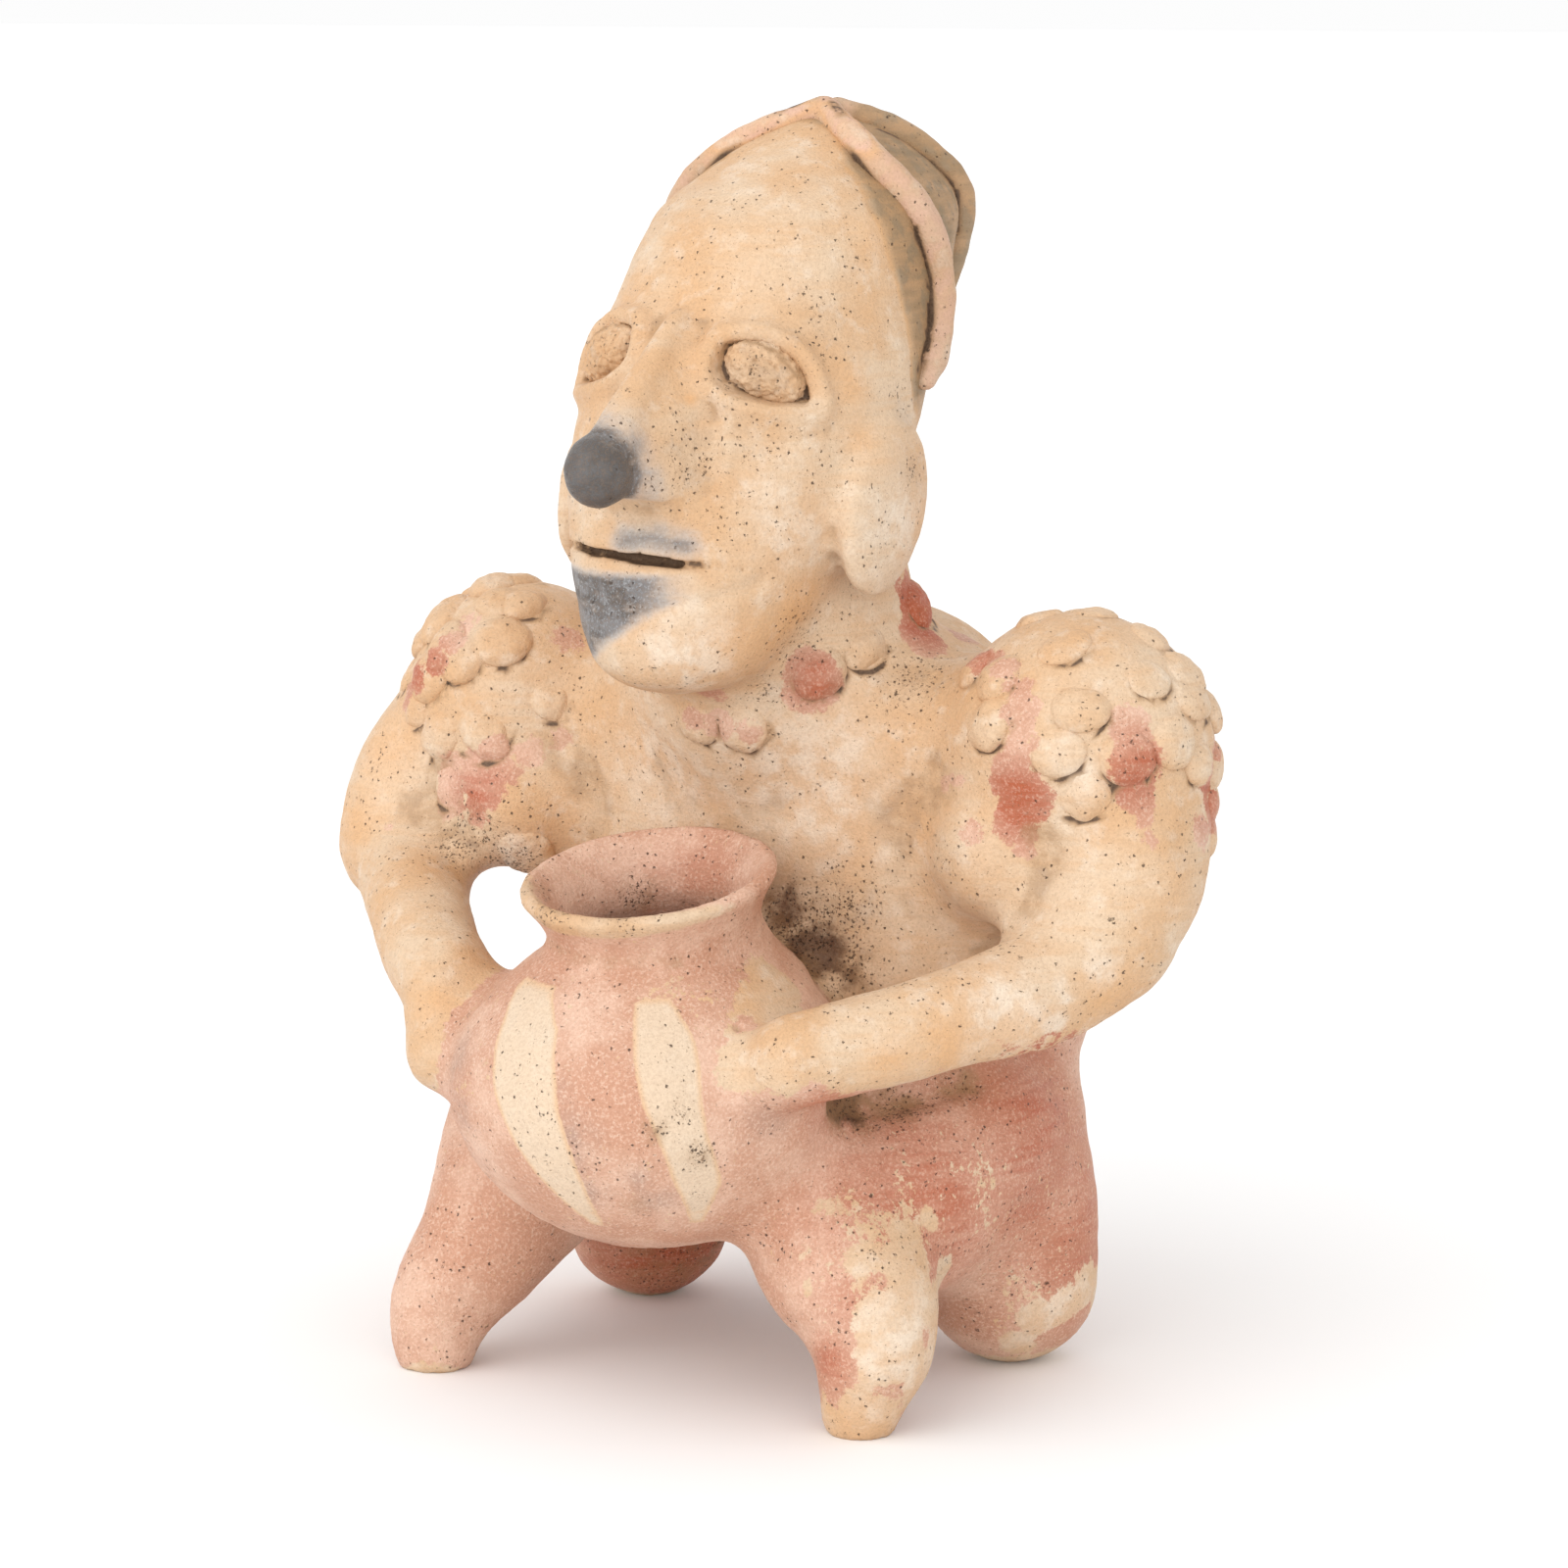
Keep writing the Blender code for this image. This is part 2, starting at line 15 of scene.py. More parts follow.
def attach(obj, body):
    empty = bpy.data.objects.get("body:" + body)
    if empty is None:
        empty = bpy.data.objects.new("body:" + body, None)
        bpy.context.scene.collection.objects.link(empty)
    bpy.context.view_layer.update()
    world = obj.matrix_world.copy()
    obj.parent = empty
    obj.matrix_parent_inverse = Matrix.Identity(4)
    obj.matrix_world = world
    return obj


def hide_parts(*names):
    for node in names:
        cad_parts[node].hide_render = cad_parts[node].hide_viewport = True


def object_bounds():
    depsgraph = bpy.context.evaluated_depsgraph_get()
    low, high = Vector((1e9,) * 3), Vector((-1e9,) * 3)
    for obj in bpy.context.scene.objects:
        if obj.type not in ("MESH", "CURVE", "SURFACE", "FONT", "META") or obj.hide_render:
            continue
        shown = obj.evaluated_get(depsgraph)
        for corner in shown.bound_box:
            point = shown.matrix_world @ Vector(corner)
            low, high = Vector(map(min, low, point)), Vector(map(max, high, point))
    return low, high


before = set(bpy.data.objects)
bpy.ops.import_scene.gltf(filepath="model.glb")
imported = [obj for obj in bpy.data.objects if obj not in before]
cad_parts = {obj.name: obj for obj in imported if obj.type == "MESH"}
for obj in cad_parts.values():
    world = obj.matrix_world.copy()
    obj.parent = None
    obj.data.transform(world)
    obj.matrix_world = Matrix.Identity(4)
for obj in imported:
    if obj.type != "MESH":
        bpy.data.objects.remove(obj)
cad_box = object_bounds()

# The pose is drawn in units of a 314.9th of the height: 1 mm on the real figure.
# X is the figure's left, Y runs to its back and Z up, from the ground between its front feet.
DRAWN_HEIGHT = 314.9
UNIT = (cad_box[1].z - cad_box[0].z) / DRAWN_HEIGHT
# The point of the drawing that lies over the frame's origin.
MIDDLE = Vector((-4.03, 57.59, 0))

# Jar and small parts, in units; the mouth's tilt is its fall for each unit across.
JAR_BELLY, JAR_MOUTH, JAR_THROAT, JAR_WALL = 100, 64, 52, 5.5
PELLET_WIDTH, PELLET_THICKNESS, PELLET_LIFT = 14, 7.2, -1.4
PELLET_LUMPS, PELLET_LUMP_SPAN, PELLET_FINENESS = 1.9, 6, 5
BAND_WIDTH = 8.4
EYE_SLANT = 33
MOUTH_LENGTH, MOUTH_SLIT, MOUTH_DEPTH = 57, 2.7, 3.4
MOUTH_HEIGHT, MOUTH_TILT, MOUTH_MIDDLE = 207, 0.055, -3
MOUTH_STEPS, MOUTH_SAG, MOUTH_WAVER, SLIT_WAVER, SLIT_TAPER = 8, 0.5, 0.25, 0.15, 0.35

# How fine each skin is worked, and how far its hollows are filled.
TRUNK_GRAIN, LIMB_GRAIN, DETAIL_GRAIN, SKIN_GRAIN, BAND_GRAIN = 2.0, 1.8, 1.15, 0.85, 0.8
TRUNK_FILLET, LIMB_FILLET, DETAIL_FILLET, BAND_FILLET = 9, 4.5, 1.1, 0.4
# Unevenness that fingers leave, as depth and span.
BODY_MARKS, SKIN_MARKS, BAND_MARKS = (1.1, 26), (0.6, 7), (0.7, 6)
EYEBALL_MARKS = ((1.2, 1.3), (1.0, 3.5))
# The figure's skin gives up triangles down to a limit, least on two parts: the face, in front of a depth and
# over a height, and the jar's lip, between two heights and in front of a depth.
SKIN_TRIANGLES, COARSE_WEIGHT = 190000, 0.4
FACE_HALF_WIDTH, FACE_BACK, FACE_FOOT = 40, 60, 176
LIP_REACH, LIP_FOOT, LIP_TOP, LIP_BACK = 36, 112, 142, 42

# Skull and jaw as flat sections: height, front, back, half width.
HEAD_SECTIONS = (
    (172.5, 18, 36, 6), (175, 9, 42, 14), (179, 4, 50, 20), (186, 1.8, 61, 25), (195, 1.5, 72, 29.5),
    (207, 3, 80, 34), (222, 7.5, 90, 38.5), (235, 11.5, 97, 40.3), (246, 16, 103, 40.3),
    (255, 19.5, 107, 39.5), (267, 27, 117, 37), (279, 34.7, 123, 35.7), (285, 40, 125.5, 34.6),
    (291, 48.5, 126.5, 31.7), (297, 59.5, 122, 25.5), (303, 70.5, 114, 18.5), (307, 78.5, 106, 11.5),
    (309.5, 85, 99, 5),
)
# Trunk from the seat to the collar, in the same terms.
TRUNK_SECTIONS = (
    (36, 56, 108, 46), (42, 51, 116, 55), (50, 47, 124, 63), (60, 46, 130, 67), (72, 47, 134, 67.5),
    (84, 48, 136, 73), (100, 49, 136, 73), (115, 48.5, 136, 71), (130, 48, 136, 71), (145, 47, 134, 72),
    (158, 45, 130, 70), (168, 45, 124, 62), (177, 48, 116, 50), (184, 56, 104, 36), (188, 66, 94, 20),
)
SECTION_SQUARENESS = 2.2
HUMP = ((0, 116, 140), (46, 38, 46), 12)
COLLAR = ((-70, 76, 150, 25), (0, 84, 156, 24), (70, 76, 150, 24))
NECK = ((0, 78, 150, 32), (0, 71, 170, 37), (0, 66, 188, 36), (0, 63, 205, 34))
SKULL_MIDDLE = (0, 62, 244)
LEFT, RIGHT = 1, -1

# Limbs, as stations of x, y, z and radius.
SHOULDERS = {LEFT: (82.5, 74, 159.5), RIGHT: (-80, 74, 158)}
SHOULDER_RADII = {LEFT: (34, 31, 33), RIGHT: (31, 30, 32)}
ARMPITS = {LEFT: (70, 56, 134), RIGHT: (-71, 55, 134)}
ARMPIT_RADII = (16, 14, 17)
ELBOWS = {LEFT: (97.5, 59, 117, 18), RIGHT: (-106.5, 60, 121, 19.5)}
UPPER_ARMS = {
    LEFT: ((90, 74, 150, 26), (98, 68, 133, 21.5)),
    RIGHT: ((-85, 73, 153, 26), (-98, 70, 142, 24), (-105.5, 66, 132, 21.5)),
}
FOREARMS = {
    LEFT: ((92, 48, 108, 15), (78, 20, 101, 12), (64, 4, 96.5, 12)),
    RIGHT: ((-97, 47, 114.5, 14.5), (-79, 25, 108, 13), (-67, 13, 102.5, 13), (-56, 4, 97, 12.5)),
}
PALMS = {LEFT: (52, -8, 93, 11.5), RIGHT: (-49.5, -8, 83, 9.5)}
HAUNCHES = {
    LEFT: ((46.8, 82, 60, 31), (55, 82, 40, 27), (58.8, 84, 22, 23)),
    RIGHT: ((-48, 84, 60, 31), (-52, 89, 40, 26), (-53, 90, 20.8, 22)),
}
LEGS = {
    LEFT: (
        (50, 66, 58, 31), (47, 46, 51, 29), (45, 27, 43, 25.5),
        (62.7, 10.7, 22, 15), (61.4, 9.6, 14, 13), (59.3, 9, 4, 10),
    ),
    RIGHT: (
        (-46, 64, 58, 29), (-52, 48, 56, 28), (-51, 30, 45, 24),
        (-54.5, 15, 28, 17.5), (-61, 5, 14, 13), (-60.5, 3, 5, 11),
    ),
}

# Face: half widths and places on it.
NOSE_RIDGE = ((1.5, 25, 264), (1.8, 9, 249), (3, -13, 231), (4, -9, 223))
NOSE_SIDES = ((4, 267), (6.5, 261), (12.6, 244), (15.5, 227), (14.5, 220))
NOSE_SINK = 2
NOSE_BALL = ((0, -12, 229.3), (7.9, 9.2, 9))
NOSE_BRIDGE = ((0, -8.5, 231.5, 7.4), (0, -1.5, 239.5, 5.6), (0, 8.5, 249.5, 4.2), (0, 22, 262, 2.8))
EYE_CENTRES = {LEFT: (22.7, 250.3), RIGHT: (22.7, 252.8)}
# Edge of an eye along its slant and up from it, from its outer corner over the top to its inner one and back.
EYE_EDGE = (
    (13, -0.4), (10.2, 2.1), (7, 4.3), (3.2, 5.9), (-1, 6.5), (-5.2, 6.0), (-9, 4.2), (-12.8, 1.2),
    (-11.9, -1.8), (-9.9, -4.9), (-6.5, -6.6), (-2, -6.5), (3, -5.2), (8, -3.3),
)
LID_RADIUS, LID_BRIM, LID_LIFT = 2.5, 1.8, 0.7
SOCKET_DEPTH, SOCKET_SHRINK, EYEBALL_DEPTH = 2.6, (0.9, 0.99), 4.4
EYEBALL_RADII, EYEBALL_SHIFT = (10.6, 6.5, 7.2), (-0.8, -0.3)
EYE_RING, RING_WIDTH, RING_DEPTH = 3.6, 0.55, 0.055
EAR, EAR_RADII, EAR_LEAN = (40.5, 51.5, 217.5), (5.8, 17.5, 23), 30
FRONT_STRAND = ((78, 299), (79.5, 285), (84, 271), (83, 259), (78, 251), (73, 246))
REAR_STRAND = ((104, 306), (111, 299), (115, 290), (113, 279), (106, 267))
CROWN_FRONT, CROWN_REAR = (91, 310.5), (97, 310)
STRAND_RISE, STRAND_TAPER = 0.9, 0.6

# Jar: middle of its belly, middle of its mouth and how far the mouth tips forward, in degrees.
JAR_CENTRE, JAR_MOUTH_CENTRE, JAR_TILT = (0, 11, 80), (0, 9, 128.7), 12.5
BELLY_FLOOR, BELLY_SHOULDER, BELLY_CURVE = 0.83, 0.95, 1.9
NECK_WAIST, NECK_ROOT, NECK_SPREAD, NECK_CURVE, LIP_CURVE = 0.38, 0.95, 0.4, 1.7, 1.8

# Pellets on each shoulder: latitude, and turn from the front outwards.
PELLETS = {
    LEFT: (
        (84, 151), (70, -82), (58, 104), (57, 15), (62, -150), (60, 190),
        (37, -24), (25, 28), (37, 67), (36, 99), (33, 140), (25, 93), (16, 117), (30, 170),
        (16, -19), (5, 18), (3, 49), (8, 72), (-2, 88), (-8, 114), (10, 145), (-10, 140),
        (-22, 112), (-34, 109), (38, -54), (-14, 30),
    ),
    RIGHT: (
        (84, 120), (65, -6), (62, -34), (75, 51), (62, 100), (60, 160), (46, 49), (39, -19),
        (28, 5), (34, 20), (31, 62), (45, 70), (38, 105), (34, 135), (8, -47), (18, 26),
        (-1, 35), (-12, 17), (13, 63), (10, 95), (12, 125), (-9, -12), (-35, 10), (-79, 6),
    ),
}
# One more, whitened, in the far armpit: a point behind it and the way out to it.
ARMPIT_PELLET = ((-64, 70, 123), (0.05, -1, 0))
# Round the foot of the neck: turn from the front towards the left, and height.
COLLAR_PELLETS = ((-4, 164), (14, 163), (42, 177), (60, 182), (-45, 176), (-75, 182), (100, 190))
COLLAR_AXIS = (0, 74)
# How pellets lean out with the clay and tip upwards, and how they differ in lean and girth.
PELLET_LEAN, PELLET_TIP, PELLET_WAVER, PELLET_GIRTHS = 0.4, (-0.06, 0, 0.16), 0.07, (0.86, 1.1)


def new_object(name, mesh):
    item = bpy.data.objects.new(name, mesh)
    bpy.context.scene.collection.objects.link(item)
    return item


def evaluated_mesh(item):
    """The mesh of an object with its modifiers carried out."""
    depsgraph = bpy.context.evaluated_depsgraph_get()
    depsgraph.update()
    return bpy.data.meshes.new_from_object(item.evaluated_get(depsgraph), depsgraph=depsgraph)


def finished(item):
    """A plain object in place of one with modifiers."""
    name, mesh = item.name, evaluated_mesh(item)
    bpy.data.objects.remove(item)
    return new_object(name, mesh)


def gathered(pieces):
    """One loose shape of several pieces, which are used up."""
    shape = bmesh.new()
    for piece in pieces:
        shape.from_mesh(piece.data)
        bpy.data.objects.remove(piece)
    return shape


def object_from(shape, name):
    mesh = bpy.data.meshes.new(name)
    shape.to_mesh(mesh)
    shape.free()
    return new_object(name, mesh)


def eased(rows, height):
    """Values of a table of rows at a height, on a smooth curve that never overshoots its rows."""
    keys = [row[0] for row in rows]
    height = min(max(height, keys[0]), keys[-1])
    i = max(k for k in range(len(rows) - 1) if keys[k] <= height)
    span = keys[i + 1] - keys[i]
    t = (height - keys[i]) / span

    def slope(k, column):
        if k == 0 or k == len(rows) - 1:
            return chord(min(k, len(rows) - 2), column)
        before, after = chord(k - 1, column), chord(k, column)
        return 2 * before * after / (before + after) if before * after > 0 else 0.0

    def chord(k, column):
        return (rows[k + 1][column] - rows[k][column]) / (keys[k + 1] - keys[k])

    values = []
    for column in range(1, len(rows[0])):
        start, end = rows[i][column], rows[i + 1][column]
        values.append((1 + 2 * t) * (1 - t) ** 2 * start + t * t * (3 - 2 * t) * end
                      + span * t * (1 - t) * ((1 - t) * slope(i, column) - t * slope(i + 1, column)))
    return values


def oval_point(front, back, half_width, turn):
    """Point of a flat section, a slightly squared oval, at an angle counted from its left side."""
    power = 2 / SECTION_SQUARENESS
    across = abs(cos(turn)) ** power * (1 if cos(turn) > 0 else -1)
    along = abs(sin(turn)) ** power * (1 if sin(turn) > 0 else -1)
    return half_width * across, (front + back) / 2 + (back - front) / 2 * along


def joined_rings(shape, rings):
    """Skin over rings of the same count, with both ends closed."""
    shape.faces.new(reversed(rings[0]))
    shape.faces.new(rings[-1])
    for below, above in zip(rings, rings[1:]):
        for side in range(len(below)):
            after = (side + 1) % len(below)
            shape.faces.new((below[side], below[after], above[after], above[side]))


def stack(name, sections, levels=90, sides=80):
    """Closed form through flat sections, each an oval at its own height."""
    shape = bmesh.new()
    low, high = sections[0][0], sections[-1][0]
    rings = []
    for level in range(levels + 1):
        height = low + (high - low) * level / levels
        front, back, half_width = eased(sections, height)
        ring = []
        for side in range(sides):
            x, y = oval_point(front, back, half_width, 2 * pi * side / sides)
            ring.append(shape.verts.new(Vector((x, y, height)) * UNIT))
        rings.append(ring)
    joined_rings(shape, rings)
    return object_from(shape, name)


def ball(name, centre, radii, lean=0.0):
    """Egg of clay; lean tips its top to the back, in degrees."""
    shape = bmesh.new()
    turn = Euler((-radians(lean), 0, 0)).to_matrix().to_4x4()
    place = Matrix.Translation(Vector(centre) * UNIT) @ turn @ Matrix.Diagonal((*(Vector(radii) * UNIT), 1))
    bmesh.ops.create_uvsphere(shape, u_segments=40, v_segments=26, radius=1, matrix=place)
    return object_from(shape, name)


def roll(name, stations, closed=False, ends=True, steps=12, roundness=8):
    """Roll of clay through stations of x, y, z and radius, with round ends unless it is a closed ring."""
    path = bpy.data.curves.new(name, "CURVE")
    path.dimensions = "3D"
    path.bevel_depth = UNIT
    path.bevel_resolution = roundness
    path.resolution_u = steps
    path.use_fill_caps = True
    line = path.splines.new("BEZIER")
    line.bezier_points.add(len(stations) - 1)
    line.use_cyclic_u = closed
    for point, (x, y, z, radius) in zip(line.bezier_points, stations):
        point.co = Vector((x, y, z)) * UNIT
        point.radius = radius
        point.handle_left_type = point.handle_right_type = "AUTO"
    pieces = [finished(new_object(name, path))]
    if ends and not closed:
        for x, y, z, radius in (stations[0], stations[-1]):
            pieces.append(ball(name, (x, y, z), (radius, radius, radius)))
    return pieces


def turned(name, outline, centre, tilt=0.0, sides=120):
    """Solid turned about an axis through a centre; the outline lists radius and height from it."""
    shape = bmesh.new()
    rings = []
    lean = Euler((radians(tilt), 0, 0)).to_matrix()
    for radius, height in outline:
        ring = []
        for side in range(sides):
            angle = 2 * pi * side / sides
            point = lean @ Vector((radius * cos(angle), radius * sin(angle), height))
            ring.append(shape.verts.new((Vector(centre) + point) * UNIT))
        rings.append(ring)
    joined_rings(shape, rings)
    return object_from(shape, name)


def skinned(item, grain):
    step = item.modifiers.new("skin", "REMESH")
    step.mode = "VOXEL"
    step.voxel_size = grain * UNIT


def relaxed(item, rounds, factor=0.5):
    step = item.modifiers.new("relax", "SMOOTH")
    step.factor = factor
    step.iterations = rounds


def fused(name, pieces, grain, fillet, relax=0):
    """One skin over overlapping pieces, with the hollows between them filled to a radius."""
    item = object_from(gathered(pieces), name)
    skinned(item, grain)
    for distance in (fillet, -fillet):
        swell = item.modifiers.new("swell", "DISPLACE")
        swell.mid_level = 0
        swell.strength = distance * UNIT
        skinned(item, grain)
    if relax:
        relaxed(item, relax)
    return finished(item)


def side_of_head(y, z):
    """Distance of the skull's side from the middle, at a place along it and a height."""
    front, back, half_width = eased(HEAD_SECTIONS, z)
    along = min(abs(y - (front + back) / 2) / ((back - front) / 2), 1)
    return half_width * (1 - along ** SECTION_SQUARENESS) ** (1 / SECTION_SQUARENESS)


def front_of_head(x, z):
    """Y of the face, at a distance from its middle and a height."""
    front, back, half_width = eased(HEAD_SECTIONS, z)
    across = min(abs(x) / half_width, 1)
    depth = (1 - across ** SECTION_SQUARENESS) ** (1 / SECTION_SQUARENESS)
    return (front + back) / 2 - (back - front) / 2 * depth


def trunk():
    """Seat, belly, hump, shoulders, upper arms, haunches, legs and neck."""
    pieces = [
        stack("trunk", TRUNK_SECTIONS),
        ball("hump", *HUMP),
        ball("left_shoulder", SHOULDERS[LEFT], SHOULDER_RADII[LEFT]),
        ball("right_shoulder", SHOULDERS[RIGHT], SHOULDER_RADII[RIGHT]),
        ball("left_armpit", ARMPITS[LEFT], ARMPIT_RADII),
        ball("right_armpit", ARMPITS[RIGHT], ARMPIT_RADII),
    ]
    pieces += roll("collar", COLLAR) + roll("neck", NECK)
    for side in (LEFT, RIGHT):
        pieces += roll("upper_arm", (*UPPER_ARMS[side], ELBOWS[side]))
        pieces += roll("haunch", HAUNCHES[side])
        pieces += roll("leg", LEGS[side])
    return fused("trunk", pieces, TRUNK_GRAIN, TRUNK_FILLET, relax=3)


def belly_outline(wall, steps=16):
    """Radius and height of the jar's belly from its widest ring; a wall's thickness inside for its hollow."""
    half = JAR_BELLY / 2
    width, floor, shoulder = half - wall, BELLY_FLOOR * half - wall, BELLY_SHOULDER * half - 1.3 * wall
    outline = []
    for step in range(1, steps):
        height = -floor * cos(pi / 2 * step / steps)
        outline.append((width * sin(pi / 2 * step / steps), height))
    for step in range(steps - 2):
        share = step / steps
        outline.append((width * (1 - share ** BELLY_CURVE), shoulder * share))
    return outline


def neck_outline(wall, steps=10):
    """Radius and height of the jar's neck and flared lip from its mouth, inside by the wall's thickness."""
    lip, throat = JAR_MOUTH / 2, JAR_THROAT / 2
    waist, root = -NECK_WAIST * lip, -NECK_ROOT * lip
    outline = []
    for step in range(steps + 1):
        height = root + (waist - root) * step / steps
        spread = NECK_SPREAD * throat * ((waist - height) / (waist - root)) ** NECK_CURVE
        outline.append((throat + spread - wall, height))
    for step in range(1, steps + 1):
        height = waist * (1 - step / steps)
        outline.append((throat + (lip - throat) * (1 - height / waist) ** LIP_CURVE - wall, height))
    return outline


def jar_neck():
    """Neck and lip, with the lip's edge rounded over."""
    lip = JAR_MOUTH / 2
    edge = JAR_WALL / 2
    outline = neck_outline(0)
    for step in range(1, 9):
        turn = pi / 2 * step / 8
        outline.append((lip - edge + edge * cos(turn), edge * sin(turn) * 0.8))
    return turned("jar_neck", outline, JAR_MOUTH_CENTRE, JAR_TILT)


def jar_hollow():
    """Cutters for the inside of the jar: its belly, and its throat out through the mouth."""
    throat = neck_outline(JAR_WALL)
    lip = JAR_MOUTH / 2 - JAR_WALL
    throat += [(lip + JAR_WALL * 0.25, JAR_WALL * 0.2), (lip + JAR_WALL * 0.6, JAR_WALL * 0.6)]
    return [
        turned("belly_hollow", belly_outline(JAR_WALL), JAR_CENTRE, sides=64),
        turned("throat_hollow", throat, JAR_MOUTH_CENTRE, JAR_TILT, sides=96),
    ]


def arms_and_head(body):
    """The body with the head, the jar's belly and the arms that end in mitten hands on it."""
    pieces = [body, stack("head", HEAD_SECTIONS), turned("jar_belly", belly_outline(0), JAR_CENTRE)]
    for side in (LEFT, RIGHT):
        pieces += roll("forearm", (ELBOWS[side], *FOREARMS[side], PALMS[side]))
    return fused("figure", pieces, LIMB_GRAIN, LIMB_FILLET, relax=4)


def wedge(name, corners):
    """Solid with flat sides round a few corners."""
    shape = bmesh.new()
    for corner in corners:
        shape.verts.new(Vector(corner) * UNIT)
    bmesh.ops.convex_hull(shape, input=shape.verts)
    return object_from(shape, name)


def nose():
    """Long straight wedge from between the eyes down to a ball at its tip."""
    corners = []
    for side in (LEFT, RIGHT):
        for x, y, z in NOSE_RIDGE:
            corners.append((side * x, y, z))
        for x, z in NOSE_SIDES:
            corners.append((side * x, front_of_head(x, z) + NOSE_SINK, z))
    return [wedge("nose", corners), ball("nose_ball", *NOSE_BALL), *roll("nose_bridge", NOSE_BRIDGE)]


def eye_point(side, along, up, lift):
    """Point of an eye's own slanting axes on the face, lifted off it."""
    middle, height = EYE_CENTRES[side]
    slant = radians(EYE_SLANT)
    x = middle + along * cos(slant) + up * sin(slant)
    z = height - along * sin(slant) + up * cos(slant)
    return side * x, front_of_head(x, z) - lift, z


def eye_edge(outside=0.0, shrink=1.0):
    """Outline of an eye's opening about its middle, moved out by a distance or shrunk."""
    outline = []
    for along, up in EYE_EDGE:
        reach = (along * along + up * up) ** 0.5
        outline.append(((along + outside * along / reach) * shrink, (up + outside * up / reach) * shrink))
    return outline


def lids():
    """Soft raised ring round each eye."""
    pieces = []
    for side in (LEFT, RIGHT):
        ring = [(*eye_point(side, along, up, LID_LIFT), LID_RADIUS) for along, up in eye_edge(LID_BRIM)]
        pieces += roll("lids", ring, closed=True)
    return pieces


def eye_sockets():
    """Cutters for the sunken almonds between the lids."""
    pieces = []
    above = LID_LIFT + LID_RADIUS + 1
    for side in (LEFT, RIGHT):
        shape = bmesh.new()
        rings = []
        for depth, shrink in zip((SOCKET_DEPTH, -above), SOCKET_SHRINK):
            points = [eye_point(side, along, up, -depth) for along, up in eye_edge(0, shrink)]
            rings.append([shape.verts.new(Vector(point) * UNIT) for point in points])
        joined_rings(shape, rings)
        bmesh.ops.triangulate(shape, faces=shape.faces)
        bmesh.ops.recalc_face_normals(shape, faces=shape.faces)
        pieces.append(object_from(shape, "socket"))
    return pieces


def ears():
    """A flat flap at each side of the head, its lobe forward and down."""
    return [ball("ear", (side * EAR[0], *EAR[1:]), EAR_RADII, EAR_LEAN) for side in (LEFT, RIGHT)]


def mouth_cutter():
    """Thin, slightly wavering rolls, one behind the other, that leave the straight slit of the mouth."""
    cutters = []
    for depth in (0, MOUTH_DEPTH / 2, MOUTH_DEPTH):
        waver = Random(9)
        stations = []
        for step in range(-MOUTH_STEPS, MOUTH_STEPS + 1):
            share = step / MOUTH_STEPS
            x = MOUTH_MIDDLE + MOUTH_LENGTH / 2 * share
            level = MOUTH_HEIGHT - MOUTH_TILT * x - MOUTH_SAG * share ** 2
            z = level + waver.uniform(-MOUTH_WAVER, MOUTH_WAVER)
            even = MOUTH_SLIT / 2 * (1 - SLIT_TAPER * abs(share) ** 3)
            thick = even + waver.uniform(-SLIT_WAVER, SLIT_WAVER)
            stations.append((x, front_of_head(x, z) + depth, z, thick))
        shape = gathered(roll("mouth", stations, steps=2, roundness=4, ends=False))
        bmesh.ops.remove_doubles(shape, verts=shape.verts, dist=0.01 * UNIT)
        cutters.append(object_from(shape, "mouth"))
    return cutters


def cut_out(item, cutters):
    """The item with the space of other solids taken out of it."""
    group = bpy.data.collections.new("cutters")
    for cutter in cutters:
        group.objects.link(cutter)
    step = item.modifiers.new("cut_out", "BOOLEAN")
    step.operation = "DIFFERENCE"
    step.operand_type = "COLLECTION"
    step.collection = group
    step.solver = "MANIFOLD"
    item = finished(item)
    for cutter in cutters:
        bpy.data.objects.remove(cutter)
    bpy.data.collections.remove(group)
    return item


def hand_worked(item, depth, span):
    """Soft unevenness that fingers leave, of a depth and a span in units."""
    pattern = bpy.data.textures.new("finger_marks", "CLOUDS")
    pattern.noise_scale = span * UNIT
    pattern.noise_depth = 1
    step = item.modifiers.new("finger_marks", "DISPLACE")
    step.texture = pattern
    step.texture_coords = "LOCAL"
    step.mid_level = 0.5
    step.strength = depth * UNIT


def drawn_points(item):
    """Vertices of a piece as an array, in the drawing's units."""
    points = np.empty(len(item.data.vertices) * 3, np.float32)
    item.data.vertices.foreach_get("co", points)
    return points.reshape(-1, 3) / UNIT


def surface_normals(item):
    normals = np.empty(len(item.data.vertices) * 3, np.float32)
    item.data.vertex_normals.foreach_get("vector", normals)
    return normals.reshape(-1, 3)


def moved_to(item, points):
    """The piece with its vertices at new places, given in the drawing's units."""
    item.data.vertices.foreach_set("co", (points * UNIT).ravel())
    item.data.update()
    return item


def distance_to_line(points, line):
    """Distance of each point from a line through stations, and how far along it that is, from 0 to 1."""
    best = np.full(len(points), 1e9, np.float32)
    place = np.zeros(len(points), np.float32)
    line = np.array(line, np.float32)
    for number, (start, end) in enumerate(zip(line, line[1:])):
        along = end - start
        share = np.clip((points - start) @ along / (along @ along), 0, 1)
        gap = np.linalg.norm(points - start - share[:, None] * along, axis=1)
        nearer = gap < best
        best[nearer] = gap[nearer]
        place[nearer] = ((number + share) / (len(line) - 1))[nearer]
    return best, place


def on_face(*places):
    """Line over the face through places of x and height."""
    return [(x, front_of_head(x, z), z) for x, z in places]


def on_side(side, *places):
    """Line over the side of the head through places of y and height."""
    return [(side * side_of_head(y, z), y, z) for y, z in places]


